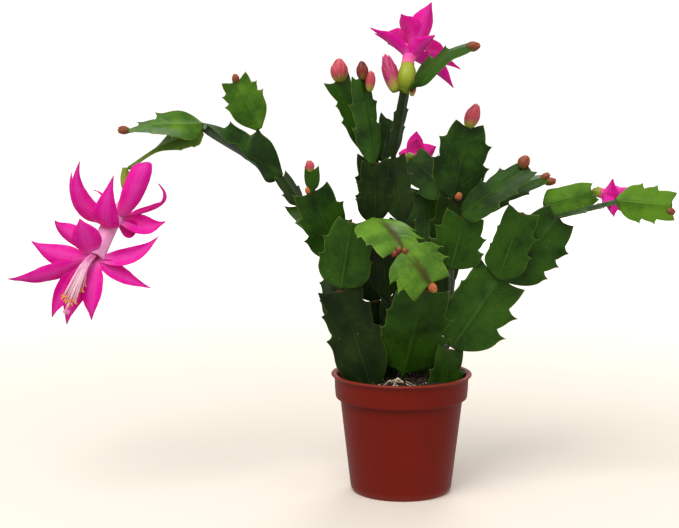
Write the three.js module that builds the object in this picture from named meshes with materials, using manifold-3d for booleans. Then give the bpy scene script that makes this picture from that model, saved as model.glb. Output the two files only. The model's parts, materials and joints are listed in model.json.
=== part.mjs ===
// A christmas cactus in flower, growing in a small round nursery pot.
// Millimetres, +Z up. The origin is the middle of the pot's foot, on the surface it stands on.
// +X is the plant's right-hand side and -Y its front.
import * as THREE from 'three';
import Module from 'manifold-3d';
import { mergeVertices } from 'three/addons/utils/BufferGeometryUtils.js';

const wasm = await Module();
wasm.setup();

// ---------------------------------------------------------------- driving dimensions

const GAP = 0.3; // left between two pieces that touch

const POT_SIDES = 36;
const POT_HEIGHT = 51;
const RIM_RADIUS = 30; // over the lip
const COLLAR_RADIUS = 28.5; // at the top of the collar
const COLLAR_FOOT_RADIUS = 28; // at its lower edge
const COLLAR_HEIGHT = 10.5;
const BODY_RADIUS = 26; // of the body, under the collar
const FOOT_RADIUS = 21.6;
const WALL = 1;
const FLOOR = 1.8;
const DRAIN_RADIUS = 2.4;
const DRAIN_SIDES = 10;
const DRAIN_CIRCLE = 13;
const DRAINS = 5;

const SOIL_TOP = 46; // at the wall
const SOIL_MOUND = 1.4; // how much higher it is in the middle
const SOIL_LUMP = 0.35;

const NECK = 1.35; // half the width of the narrow joint where a stem segment starts
const SEAT = 2.3; // half the width of the flat end where the next one joins
const BLADE = 2; // thickness over the midrib
const TOOTH_SHARE = 0.11; // how far a tooth stands out of the edge, as a share of the width
const HORN = 1.1; // how far the two end horns stand past the flat end
const TOP = 0.72; // half the width over the horns, as a share of half the width
const TEETH = [0.42, 0.7]; // where the teeth are, as a share of the length
const PETAL = 0.9; // thickness of a flower's petal

// ---------------------------------------------------------------- colours

const PAINT = {
  pot: { color: 0x7d2a1a, roughness: 0.45 },
  soil: { color: 0x1c120c, roughness: 0.95 },
  root: { color: 0xb9a98a, roughness: 0.8 },
  stem: { color: 0x2b4a1c, roughness: 0.45 },
  leaf: { color: 0x3a6a24, roughness: 0.4 },
  young_leaf: { color: 0x7fae3e, roughness: 0.4 },
  petal: { color: 0xe21fa8, roughness: 0.5 },
  stamen: { color: 0xf0a070, roughness: 0.6 },
  bud: { color: 0xc04a58, roughness: 0.5 },
};

// ---------------------------------------------------------------- how the plant grows
// Every stem segment starts at the tip of the one it grows from, `across` mm to one side of the
// middle and moved by `shift`, or at a place of its own: down in the soil, or on the side of
// another segment. It leans `lean` degrees from upright towards +X and comes `reach` degrees
// towards the front. `face` is the way its upper side looks. `bow` lifts its middle that many
// mm towards its face, `cup` drops its two edges, `twist` turns it in degrees from base to tip,
// `stalk` is the share of its length that stays narrow, `foot` how full it starts, `top` how wide
// its flat end is and `slim` the share of its end that is drawn out to a neck. `teeth` says where
// its teeth are, and `bite` how strong they are on its left and on its right.

const SHOOTS = [
  // the front cutting
  { name: 'front_leaf', at: [-1, 1, 43], lean: 12, reach: 19, length: 49, width: 26,
    face: [0.1, -1, 0.2], stalk: 0.18, bite: [0.5, 1.2], teeth: [0.48, 0.7] },

  // the cutting behind it, which carries the two youngest segments and the top flower
  { name: 'front_stem_1', at: [-4, 8, 40], lean: -2, reach: 8, length: 43, width: 14,
    face: [0.8, -0.6, 0], stalk: 0.1, paint: 'stem' },
  { name: 'front_stem_2', from: 'front_stem_1', lean: -6, reach: 17, length: 34, width: 12,
    face: [0.2, -1, 0], paint: 'stem', shift: [-1, -1, 0] },
  { name: 'young_leaf_1', from: 'front_stem_2', lean: 131, reach: 53, length: 25, width: 24,
    face: [0.1, -0.35, 0.95], bow: 3, cup: 3, paint: 'young_leaf', shift: [-2.5, -0.4, 0.2],
    bite: [1.6, 0.5] },
  { name: 'young_leaf_2', from: 'young_leaf_1', across: -0.5, lean: 143, reach: 9, length: 17,
    width: 23, face: [0.2, -0.95, 0.3], bow: 1.5, cup: 1, paint: 'young_leaf' },
  { name: 'centre_leaf', from: 'front_stem_1', lean: 5, reach: -4, length: 30, width: 16,
    face: [-0.6, -0.8, 0], paint: 'stem', shift: [3.2, 3.7, 1.2] },
  { name: 'centre_stem_1', from: 'centre_leaf', lean: -8, reach: 0, length: 27, width: 12,
    face: [0.2, -0.95, 0], paint: 'stem', shift: [0, 1.8, 0] },
  { name: 'centre_stem_2', from: 'centre_stem_1', lean: 9, reach: 11, length: 28, width: 10.5,
    face: [0.85, -0.5, 0], paint: 'stem' },
  { name: 'top_leaf', from: 'centre_stem_2', lean: 53, reach: 11, length: 29, width: 10,
    face: [-0.3, -0.6, 0.6], bow: 3.2, twist: -40, shift: [2.8, -2.4, 0.3], stalk: 0.08,
    bite: [2.4, 0] },

  // the left cutting and the long arch that carries the open flower
  { name: 'left_leaf_1', at: [-11.2, -7, 39], lean: -17, reach: 3, length: 51, width: 20,
    face: [0, -1, 0.1], stalk: 0.12, teeth: [0.56, 0.8], top: 0.85 },
  { name: 'left_leaf_2', from: 'left_leaf_1', lean: 9, reach: 3, length: 27, width: 20,
    face: [-0.1, -1, 0.1], shift: [0.8, 0, 0.8], foot: 1.5, bite: [0.8, 0.6], teeth: [0.45, 0.72],
    top: 0.5 },
  { name: 'arch_leaf_1', at: [-26.5, -6.3, 72.9], lean: -3, reach: -32, length: 29, width: 14,
    face: [-0.3, -1, 0] },
  { name: 'dark_leaf', from: 'arch_leaf_1', lean: -22, reach: 14, length: 32, width: 19,
    face: [0.15, -1, 0], shift: [1.6, -2.9, 0.5] },
  { name: 'small_leaf', from: 'dark_leaf', lean: -1, reach: 14, length: 9, width: 5,
    face: [0, -1, 0], teeth: [], shift: [0.4, 0, 0] },
  { name: 'arch_leaf_2', from: 'arch_leaf_1', lean: -32, reach: -18, length: 27, width: 18,
    face: [0.8, -0.3, 0.5], twist: -50, shift: [-2.7, 2.9, 0.2] },
  { name: 'arch_leaf_3', from: 'arch_leaf_2', lean: -32, reach: -4, length: 14, width: 13,
    face: [0.8, -0.5, 0.4], teeth: [0.5], shift: [0.6, 0, 0] },
  { name: 'arch_leaf_4', from: 'arch_leaf_3', lean: -58, reach: 20, length: 40, width: 20,
    face: [0, -0.5, 0.8], bow: -1, cup: -6, twist: 64, shift: [-0.4, 0, 0.2] },
  { name: 'bright_leaf', at: [-61.5, 22.2, 154], lean: -26, reach: 0, length: 22, width: 15.5,
    face: [0.1, -1, 0], foot: 0.8, top: 0.65, teeth: [0.62, 0.82] },
  { name: 'arch_leaf_5', from: 'arch_leaf_4', shift: [0, -1.5, 1.5], lean: -94, reach: 25,
    length: 32, width: 17, face: [0, -0.5, 0.87], bow: 1, twist: 60, bite: [0.5, 2],
    teeth: [0.5, 0.75] },
  { name: 'arch_leaf_6', from: 'arch_leaf_4', shift: [0, 1, -2], lean: -116, reach: 15, length: 34,
    width: 13, face: [-0.2, -0.5, 0.8], bow: 2, twist: 50, slim: 0.42, teeth: [0.3, 0.6],
    bite: [0.4, 0.4] },

  // the tall cutting at the back left
  { name: 'upright_stem_1', at: [-8, 14, 40], lean: -4, reach: 3, length: 40, width: 19,
    face: [0.2, -1, 0], stalk: 0.1, paint: 'stem', top: 0.9 },
  { name: 'upright_stem_2', from: 'upright_stem_1', lean: -5, reach: 3, length: 33, width: 17,
    face: [0.1, -1, 0], paint: 'stem', foot: 1.4, shift: [-0.4, 1.6, 0] },
  { name: 'upright_stem_3', from: 'upright_stem_2', lean: -4, reach: 1, length: 28, width: 12,
    face: [0.5, -0.85, 0], paint: 'stem', shift: [1.6, 2.4, 0.6] },
  { name: 'upright_stem_4', from: 'upright_stem_2', lean: 0, reach: 10, length: 26, width: 14,
    face: [0.3, -0.95, 0], paint: 'stem', shift: [2.5, -4.5, 0.6] },
  { name: 'upright_leaf_1', from: 'upright_stem_3', lean: -22, reach: 5, length: 34, width: 9,
    face: [0.5, -0.85, 0], top: 1.3, foot: 0.8, teeth: [0.5, 0.72] },
  { name: 'upright_leaf_2', from: 'upright_stem_4', across: -1, lean: -9, reach: 1, length: 35,
    width: 11.5, face: [0.5, -0.85, 0], top: 0.5 },
  { name: 'upright_leaf_3', from: 'upright_stem_4', lean: 12, reach: -23, length: 18, width: 11,
    face: [0.5, -0.85, 0], paint: 'stem', shift: [3, 9, 0.5] },

  // the back cutting with the broad upright segment
  { name: 'back_stem_1', at: [8, 14, 40], lean: 9, reach: -6, length: 40, width: 14,
    face: [0.2, -1, 0], stalk: 0.1, paint: 'stem' },
  { name: 'back_stem_2', from: 'back_stem_1', across: 1, lean: 9, reach: 5, length: 45, width: 16,
    face: [0.3, -1, 0], teeth: [0.35, 0.55, 0.75], paint: 'stem' },
  { name: 'broad_leaf', from: 'back_stem_2', lean: 12, reach: 0, length: 31, width: 21,
    face: [0, -1, 0.1], teeth: [0.48, 0.78], top: 0.5 },
  { name: 'back_leaf_1', from: 'back_stem_1', lean: 2, reach: -21, length: 49, width: 19,
    face: [-0.2, -1, 0], teeth: [0.35, 0.55, 0.75], shift: [-4, 2.5, 0] },
  { name: 'back_leaf_2', from: 'back_stem_2', lean: -48, reach: -42, length: 28, width: 16,
    face: [-0.2, -0.8, 0.4], shift: [-1.5, 3, 0] },

  // the right cutting
  { name: 'right_leaf_1', at: [17, -4, 38], lean: 8, reach: 4, length: 24, width: 13,
    face: [0.2, -1, 0], teeth: [0.6] },
  { name: 'right_leaf_2', from: 'right_leaf_1', lean: 35, reach: -3, length: 35, width: 26,
    face: [0, -1, 0.1], shift: [0.9, -0.2, 0.8], bite: [0.3, 1.6], top: 0.8 },
  { name: 'right_leaf_3', from: 'right_leaf_2', across: 1, lean: 42, reach: 0, length: 34,
    width: 24, face: [0, -1, 0.1], teeth: [0.35, 0.55, 0.75], top: 0.5 },
  { name: 'right_leaf_4', from: 'right_leaf_2', lean: 18, reach: 10, length: 29, width: 16,
    face: [-0.2, -1, 0], shift: [-1.5, -2.5, 0], bite: [0.3, 1], foot: 1.2 },
  { name: 'right_leaf_5', from: 'right_leaf_3', lean: 76, reach: -12, length: 21, width: 13,
    face: [0, -0.8, 0.4], cup: 1.5, shift: [-5.9, 2.6, 4.7], bite: [0, 0], foot: 1.3, top: 0.5 },
  { name: 'right_leaf_6', from: 'right_leaf_3', lean: 75, reach: 3, length: 24, width: 6,
    face: [-0.2, -0.2, 1], shift: [-0.8, -3, 0.5] },
  { name: 'right_leaf_7', from: 'right_leaf_6', lean: 95, reach: 5, length: 22, width: 14,
    face: [0, -1, 0.2] },

  // the slim cutting between the front leaf and the right one
  { name: 'side_stem_1', at: [10, 5, 40], lean: 25, reach: 0, length: 26, width: 13,
    face: [1, -0.3, 0], paint: 'stem' },
  { name: 'side_stem_2', from: 'side_stem_1', lean: 0, reach: 17, length: 33, width: 12,
    face: [0.95, -0.3, 0], paint: 'stem', shift: [-0.6, 2.8, 0] },
  { name: 'side_leaf_1', from: 'side_stem_2', lean: 13, reach: 12, length: 22, width: 20,
    face: [-0.2, -1, 0.1], foot: 1.3 },
  { name: 'side_leaf_2', from: 'side_leaf_1', lean: 52, reach: 5, length: 33, width: 13,
    face: [-0.4, -0.8, 0.5], bow: 2, shift: [-0.1, 0, -0.4], foot: 1.5, top: 0.5 },
  { name: 'side_leaf_3', from: 'side_leaf_1', lean: 65, reach: -11, length: 35, width: 13,
    face: [-0.4, -0.5, 0.7], bow: 2, shift: [2.2, 3.5, -0.2], foot: 1.4, top: 0.4 },
];

// The larger flower buds. Each sits on the end of a segment, and `width` is its full width.
const BUDS = [
  { name: 'pink_bud_1', from: 'upright_leaf_1', shift: [1, 0, 0], lean: 0, reach: 5, length: 9,
    width: 7 },
  { name: 'red_bud', from: 'upright_leaf_2', shift: [1.4, 0, 0.4], lean: -3, reach: 5, length: 7,
    width: 4.6 },
  { name: 'magenta_bud', from: 'centre_stem_2', shift: [-3.9, 1.5, 0], lean: -16, reach: -10,
    length: 16, width: 7 },
  { name: 'pink_bud_2', from: 'broad_leaf', lean: 20, reach: 5, length: 10, width: 6 },
  { name: 'tip_bud', from: 'top_leaf', shift: [-0.4, 0, -0.5], lean: 82, reach: 10, length: 5,
    width: 4 },
  { name: 'brown_bud', from: 'side_leaf_2', shift: [-3.6, 0, 0.6], lean: 30, reach: 10, length: 5,
    width: 4.6 },
  { name: 'orange_bud', from: 'young_leaf_2', lean: 140, reach: 20, length: 3.4, width: 3.4 },
];

// The flowers. `path` is the middle line of the ovary and tube in four points, and `radii` its
// radius at and halfway between them. A ring of petals leaves the tube at the path's point `at`
// and opens towards `looks`. A petal is [right, back, up, width, spring]: where its point stands
// from the tube's middle line, how wide it is, and how far it follows the tube before it turns
// outwards. A petal that hooks back has instead the points it turns at, hooks round and ends at,
// its width, and the way that its width lies.
const FLOWERS = [
  { name: 'arch_flower', from: 'arch_leaf_6',
    path: [[0, 0, 0], [0, -1, -12], [-4.5, -5, -20], [-11, -17, -35]],
    radii: [1.4, 2.1, 1.9, 2.9, 3.6, 3.9, 4.2],
    rings: [
      { at: 2, looks: [-0.3, -0.9, -0.4], petals: [
        [[-7, -3, -1], [-18, -8, 8], [-12.2, -8, 24.5], 8.5, [1, 0, 1]],
        [[-8, 1, 0], [-20, 4, 6], [-18, 5, 19], 6, [1, 0, 1]],
        [[-3, -9, -7], [-3, -17, 2], [2.4, -14, 19], 11.5, [1, 0, -0.33]],
        [[8, -5, 2], [16, -8, 34], [14, 6, 20], 9.5, [1, 0.2, 0]],
        [[14, 3, 2], [28, 6, 5], [18.2, 6, 14.2], 7, [0.1, 1, 0.2]],
        [[8, 0, -2], [15, 4, -6], [21.5, 2, -1.3], 8.5, [0, 0.4, 1]],
        [[6, 1, -3], [9, 3, -7], [9.5, 1, -5], 8, [0.6, 0, 1]],
      ] },
      { at: 3, looks: [-0.3, -0.85, -0.4], petals: [
        [[-1, -4, 4], [-3, -9, 12], [-4.2, -8, 17], 11.8, [1, 0, 0.2]],
        [[-4, 5, 8], [-15, 7, 10], [-17, 6, 15], 8, [0.5, 0, 1]],
        [[-7, -3, 0], [-17, -3, 1], [-25.6, -1, 7.2], 9.5, [0, 0.3, 1]],
        [[-8, -4, -3], [-20, -12, -8], [-33.5, -11, -7.2], 8.2, [0, -0.4, 1]],
        [[-5, -4, -5], [-14, -6, -14], [-17, -5, -24], 9, [1, 0, -0.5]],
        [[-3, -6, -5], [-9, -11, -15], [-10.2, -9, -26.2], 9.5, [1, 0.2, -0.4]],
        [[1, -6, -6], [0, -11, -15], [0, -9, -24.3], 9.5, [1, -0.2, 0]],
        [[5, -2, -3], [11, 2, -9], [22.8, 4, -13.2], 7, [0, 0.3, 1]],
        [[8, -1, -1], [18, 3, -1], [26, 6, 8.4], 7, [0, 0.3, 1]],
      ] },
    ] },
  { name: 'top_flower', from: 'centre_stem_2', shift: [0, 0.5, 0],
    path: [[0, 0, 0], [1, 0, 6], [1.5, 3, 12], [3.5, 8, 17]],
    radii: [1.5, 3, 3.6, 3.2, 2.6, 3, 3.6],
    rings: [
      { at: 2, looks: [0.2, 0.5, 0.8], petals: [
        [-16, -2, 14, 7, 4], [-14, 5, 12, 7, 4], [11, -6, 11, 8, 4], [23, 12, -3, 7, 5],
        [20, 10, -11, 10, 5], [-8, 20, 8, 8, 5],
      ] },
      { at: 3, looks: [0.2, 0.6, 0.7], petals: [
        [-5, -4, 15, 10, 6], [8, -1, 20, 10, 6], [16, 14, -3, 9, 5], [3, 18, 12, 9, 5],
        [-10, 16, 8, 8, 5],
      ] },
    ] },
  { name: 'back_flower', from: 'back_leaf_2',
    path: [[0, 0, 0], [0.5, 4, -0.5], [2.5, 9, -1], [3.8, 14, -1]],
    radii: [1.4, 2, 2.3, 2.2, 2.4, 2.7, 3],
    rings: [
      { at: 2, looks: [-0.1, 1, 0], petals: [
        [1, -3, 9, 7, 3], [7, -2, 3, 7, 3], [-4, -5, -5, 6, 3], [1, -4, -11, 7, 3],
      ] },
      { at: 3, looks: [-0.1, 1, 0], petals: [
        [0, 3, 12, 8, 4], [9, 4, 5, 8, 4], [7, 4, -6, 7, 4], [-1, 3, -13, 8, 4],
        [-8, 4, 2, 7, 4],
      ] },
    ] },
  { name: 'side_flower', from: 'right_leaf_5',
    path: [[0, 0, 0], [1.5, 0.5, -0.5], [3, 1, -1], [5, 1.5, -1.5]],
    radii: [1.3, 1.8, 2.2, 2.6, 3, 3, 2.6],
    rings: [
      { at: 2, looks: [0.9, 0.3, -0.3], petals: [
        [8.5, -1, 2.5, 7, 3], [9, -2, -8, 7, 3], [-3, -3, -4, 6, 2], [2, -2, 5, 6, 2],
        [8, 5, -2, 7, 3], [7, 4, -6, 7, 3],
      ] },
    ] },
];

// The bunch of stamens and the style, hanging out of the open flower's mouth.
const STAMENS = { name: 'arch_flower_stamens', path: [[-2, -8, -2], [-6, -13, -6], [-8.5, -17, -17]],
  radii: [1.6, 1.8, 2.6, 2.8, 1] };

// Fine roots on the soil at the front: where each ends, from the place that they share.
const ROOT_START = [-1.5, -4];
const ROOT_ENDS = [[-6, -17], [4, -15], [-12, -15]];
const ROOT_RADIUS = 0.45;
const ROOT_SIDES = 5;
const ROOT_STEPS = 4;

// ---------------------------------------------------------------- small tools

const vec = (p) => new THREE.Vector3(...p);

function direction(lean, reach) {
  const l = THREE.MathUtils.degToRad(lean);
  const r = THREE.MathUtils.degToRad(reach);
  return new THREE.Vector3(Math.sin(l) * Math.cos(r), -Math.sin(r), Math.cos(l) * Math.cos(r));
}

function signedVolume(points, faces) {
  let sum = 0;
  for (const [a, b, c] of faces) sum += points[a].dot(points[b].clone().cross(points[c]));
  return sum / 6;
}

// Joins rings of points into one closed body, with a fan of triangles at each end.
function loft(rings) {
  const sides = rings[0].length;
  const points = rings.flat();
  const faces = [];
  for (let k = 0; k + 1 < rings.length; k += 1) {
    for (let i = 0; i < sides; i += 1) {
      const a = k * sides + i;
      const b = k * sides + ((i + 1) % sides);
      faces.push([a, b, b + sides], [a, b + sides, a + sides]);
    }
  }
  const middle = (ring) => ring.reduce((sum, p) => sum.add(p), new THREE.Vector3())
    .divideScalar(sides);
  const last = (rings.length - 1) * sides;
  points.push(middle(rings[0]), middle(rings[rings.length - 1]));
  for (let i = 0; i < sides; i += 1) {
    const j = (i + 1) % sides;
    faces.push([j, i, points.length - 2], [last + i, last + j, points.length - 1]);
  }
  if (signedVolume(points, faces) < 0) faces.forEach((f) => f.reverse());
  const geometry = new THREE.BufferGeometry();
  geometry.setAttribute('position', new THREE.Float32BufferAttribute(
    points.flatMap((p) => [p.x, p.y, p.z]), 3));
  geometry.setIndex(faces.flat());
  return geometry;
}

function toSolid(geometry) {
  const plain = geometry.clone();
  plain.deleteAttribute('normal');
  plain.deleteAttribute('uv');
  const welded = mergeVertices(plain, 1e-4);
  return new wasm.Manifold(new wasm.Mesh({
    numProp: 3,
    vertProperties: new Float32Array(welded.attributes.position.array),
    triVerts: new Uint32Array(welded.index.array),
  }));
}

function toGeometry(solid) {
  const mesh = solid.getMesh();
  const geometry = new THREE.BufferGeometry();
  geometry.setAttribute('position', new THREE.BufferAttribute(mesh.vertProperties, 3));
  geometry.setIndex(new THREE.BufferAttribute(mesh.triVerts, 1));
  return geometry;
}

function mesh(name, geometry, paint) {
  geometry.computeVertexNormals();
  const made = new THREE.Mesh(geometry, new THREE.MeshStandardMaterial(PAINT[paint]));
  made.name = name;
  return made;
}

// ---------------------------------------------------------------- stem segments

// Half the width of a segment's edge without its teeth, as a share of its widest place.
const envelope = (s) => Math.sin(Math.PI * (0.2 + 0.62 * s)) ** 0.6;

// The stations of a segment: how far along its edge and its rib are, how wide each is, and how
// much a tooth adds to the edge.
function stations(shoot) {
  const { width, length, stalk = 0, slim = 0, foot = 1, top = TOP, teeth = TEETH } = shoot;
  const tooth = TOOTH_SHARE * width;
  const half = width / 2;
  const body = (s) => stalk + (1 - stalk - slim) * s;
  const rib = (s) => Math.max(0.3 * half * envelope(s), 0.4 * NECK);
  const list = [{ edge: 0, wide: NECK, bite: 0, rib: 0, ribWide: 0.45 * NECK, thick: 1.1 }];
  if (stalk > 0) list.push({ ...list[0], edge: stalk, rib: stalk });
  for (const [s, w] of [[0.05, 0.52], [0.15, 0.86]]) {
    const wide = half * Math.min(w * foot, 1);
    list.push({ edge: body(s), wide, bite: 0, rib: body(s), ribWide: rib(s), thick: 1 });
  }
  for (const s of teeth) {
    const both = { wide: half * envelope(s), ribWide: rib(s), thick: 1 };
    list.push({ ...both, edge: body(s), bite: 0.6 * tooth, rib: body(s - 0.03) });
    list.push({ ...both, edge: body(s + 0.05), bite: -0.4 * tooth, rib: body(s + 0.05) });
  }
  const seat = Math.min(SEAT, half * 0.5);
  if (slim > 0) {
    list.push({ edge: 1 - slim, wide: seat, bite: 0, rib: 1 - slim, ribWide: 0.4 * SEAT, thick: 0.9 });
  } else {
    const horn = Math.min(HORN, 0.12 * length);
    list.push({ edge: 1 + horn / length, wide: Math.max(half * top, SEAT), bite: 0, rib: 0.94,
      ribWide: 0.55 * SEAT, thick: 0.9 });
  }
  const end = slim > 0 ? NECK : seat;
  list.push({ edge: 1, wide: end, bite: 0, rib: 1, ribWide: 0.4 * end, thick: 0.8 });
  return list;
}

// Where a piece starts: clear of its parent's flat end by the gap, and by a little more where it
// turns away from the parent's own direction.
function startOf(piece, grown) {
  if (piece.at) return vec(piece.at);
  const parent = grown.get(piece.from);
  const turn = Math.min(parent.grows.angleTo(direction(piece.lean, piece.reach)), Math.PI / 2);
  return parent.tip.clone()
    .addScaledVector(parent.grows, GAP + NECK * Math.sin(turn))
    .addScaledVector(parent.across, piece.across ?? 0)
    .add(vec(piece.shift ?? [0, 0, 0]));
}

// The rings of a segment, each one: left edge, two points of the upper rib, right edge, two below.
// `swell` makes a slightly larger one, for the pocket that it stands in.
function bladeRings(shoot, grown, swell = 0) {
  const { length, width, bow = 0, cup = 0, twist = 0, bite = [1, 1] } = shoot;
  const base = startOf(shoot, grown);
  const grows = direction(shoot.lean, shoot.reach);
  const face = vec(shoot.face).projectOnPlane(grows).normalize();
  const across = grows.clone().cross(face);
  const place = (s, aside, lift) => {
    const turned = THREE.MathUtils.degToRad(twist) * (s - 0.5);
    const side = across.clone().applyAxisAngle(grows, turned);
    const up = face.clone().applyAxisAngle(grows, turned);
    const drop = cup * (aside / (width / 2)) ** 2 * Math.min(1, 4 * s, 1.6 - s);
    return base.clone().addScaledVector(grows, s * length).addScaledVector(side, aside)
      .addScaledVector(up, lift - drop + 4 * bow * s * (1 - s));
  };
  const rings = stations(shoot).map((at, index) => {
    const edge = at.edge - (index === 0 ? swell / length : 0);
    const rib = at.rib - (index === 0 ? swell / length : 0);
    const lift = (BLADE / 2) * at.thick + swell;
    const [left, right] = bite.map((strength) => at.wide + at.bite * strength + swell);
    return [
      place(edge, -left, 0), place(rib, -at.ribWide, lift), place(rib, at.ribWide, lift),
      place(edge, right, 0), place(rib, at.ribWide, -lift), place(rib, -at.ribWide, -lift),
    ];
  });
  const endFace = face.clone().applyAxisAngle(grows, THREE.MathUtils.degToRad(twist) / 2);
  grown.set(shoot.name, {
    tip: base.clone().addScaledVector(grows, length),
    grows,
    across: grows.clone().cross(endFace),
  });
  return rings;
}

// ---------------------------------------------------------------- buds, flowers, stamens

const BUD_PROFILE = [[0, 0.3], [0.16, 0.74], [0.42, 1], [0.7, 0.84], [0.9, 0.44], [1, 0.14]];
const BUD_SIDES = 6;

function tubeRings(points, radii, sides) {
  const curve = new THREE.CatmullRomCurve3(points);
  return radii.map((radius, k) => {
    const t = k / (radii.length - 1);
    const along = curve.getTangent(t);
    const right = new THREE.Vector3(0, 0, 1).cross(along);
    if (right.length() < 0.1) right.set(1, 0, 0).projectOnPlane(along);
    right.normalize();
    const up = along.clone().cross(right);
    return Array.from({ length: sides }, (_, i) => {
      const angle = (2 * Math.PI * i) / sides;
      return curve.getPoint(t).addScaledVector(right, radius * Math.cos(angle))
        .addScaledVector(up, radius * Math.sin(angle));
    });
  });
}

function budRings(bud, grown) {
  const base = startOf(bud, grown);
  const grows = direction(bud.lean, bud.reach);
  const right = new THREE.Vector3(0, -1, 0).cross(grows).normalize();
  const up = grows.clone().cross(right);
  return BUD_PROFILE.map(([s, share]) => Array.from({ length: BUD_SIDES }, (_, i) => {
    const angle = (2 * Math.PI * i) / BUD_SIDES;
    const radius = (bud.width / 2) * share;
    return base.clone().addScaledVector(grows, s * bud.length)
      .addScaledVector(right, radius * Math.cos(angle)).addScaledVector(up, radius * Math.sin(angle));
  }));
}

const PETAL_PROFILE = [[0, 0.5], [0.2, 0.7], [0.45, 1], [0.65, 0.96], [0.85, 0.6], [1, 0.08]];

// A petal's middle line, and the way that its width lies.
function petalLine(centre, axis, radius, petal) {
  const from = (p) => centre.clone().add(vec(p));
  if (Array.isArray(petal[0])) {
    const [turn, hook, tip, width, level] = petal;
    const start = centre.clone().addScaledVector(vec(turn).normalize(), radius * 0.5);
    const curve = new THREE.CubicBezierCurve3(start, from(turn), from(hook), from(tip));
    return { curve, width, side: vec(level) };
  }
  const [right, back, up, width, spring] = petal;
  const tip = new THREE.Vector3(right, back, up);
  const outward = tip.clone().projectOnPlane(axis).normalize();
  const start = centre.clone().addScaledVector(outward, radius * 0.55);
  const turn = start.clone().addScaledVector(axis, spring).addScaledVector(outward, spring * 0.6);
  const curve = new THREE.QuadraticBezierCurve3(start, turn, centre.clone().add(tip));
  return { curve, width, side: axis.clone().cross(outward) };
}

// The rings of a petal, from the tube out to its point.
function petalRings(centre, axis, radius, petal) {
  const { curve, width, side } = petalLine(centre, axis, radius, petal);
  return PETAL_PROFILE.map(([s, share]) => {
    const along = curve.getTangent(s);
    const level = side.clone().projectOnPlane(along).normalize();
    const normal = along.clone().cross(level);
    const at = curve.getPoint(s);
    const thick = (PETAL / 2) * (s === 1 ? 0.4 : 1);
    return [
      at.clone().addScaledVector(level, (-width / 2) * share), at.clone().addScaledVector(normal, thick),
      at.clone().addScaledVector(level, (width / 2) * share), at.clone().addScaledVector(normal, -thick),
    ];
  });
}

const TUBE_SIDES = 8;

function flowerSolid(flower, grown) {
  const base = startOf({ lean: 0, reach: 0, ...flower }, grown);
  const points = flower.path.map((p) => vec(p).add(base));
  const curve = new THREE.CatmullRomCurve3(points);
  let solid = toSolid(loft(tubeRings(points, flower.radii, TUBE_SIDES)));
  for (const { at, looks, petals } of flower.rings) {
    for (const petal of petals) {
      const rings = petalRings(points[at], vec(looks).normalize(), flower.radii[2 * at], petal);
      solid = solid.add(toSolid(loft(rings)));
    }
  }
  grown.set(flower.name, { tip: curve.getPoint(1), grows: curve.getTangent(1) });
  return toGeometry(solid);
}

// ---------------------------------------------------------------- pot, soil and roots

const lathe = (profile) => new THREE.LatheGeometry(
  profile.map(([r, z]) => new THREE.Vector2(r, z)), POT_SIDES).rotateX(Math.PI / 2);

function potGeometry() {
  const shoulder = POT_HEIGHT - COLLAR_HEIGHT;
  const inner = COLLAR_FOOT_RADIUS - WALL;
  let pot = toSolid(lathe([
    [0, 0], [FOOT_RADIUS - 1.4, 0], [FOOT_RADIUS - 0.4, 0.5], [FOOT_RADIUS, 1.6],
    [BODY_RADIUS, shoulder - 1], [BODY_RADIUS + 0.5, shoulder - 0.2],
    [COLLAR_FOOT_RADIUS - 0.4, shoulder], [COLLAR_FOOT_RADIUS, shoulder + 0.6],
    [COLLAR_RADIUS, POT_HEIGHT - 1.9], [RIM_RADIUS - 0.5, POT_HEIGHT - 1.5],
    [RIM_RADIUS, POT_HEIGHT - 0.8], [RIM_RADIUS - 0.3, POT_HEIGHT - 0.2],
    [RIM_RADIUS - 0.9, POT_HEIGHT], [COLLAR_RADIUS - WALL, POT_HEIGHT - 0.4],
    [inner, shoulder + 1.4], [BODY_RADIUS - WALL, shoulder + 0.2],
    [FOOT_RADIUS - WALL, FLOOR], [0, FLOOR],
  ]));
  for (let i = 0; i < DRAINS; i += 1) {
    const angle = (2 * Math.PI * (i + 0.5)) / DRAINS;
    const hole = new THREE.CylinderGeometry(DRAIN_RADIUS, DRAIN_RADIUS, 3 * FLOOR, DRAIN_SIDES)
      .rotateX(Math.PI / 2)
      .translate(DRAIN_CIRCLE * Math.cos(angle), DRAIN_CIRCLE * Math.sin(angle), FLOOR / 2);
    pot = pot.subtract(toSolid(hole));
  }
  return toGeometry(pot);
}

// The height of the soil's surface, which is a low, lumpy mound.
function soilHeight(x, y) {
  const wall = COLLAR_FOOT_RADIUS - WALL;
  const mound = SOIL_MOUND * Math.max(0, 1 - (x * x + y * y) / (wall * wall));
  const lump = Math.sin(0.55 * x + 1) * Math.cos(0.5 * y) + 0.6 * Math.sin(1.1 * y + 0.4 * x);
  return SOIL_TOP + mound + SOIL_LUMP * lump;
}

const SOIL_RINGS = [6, 13, 20];

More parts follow.
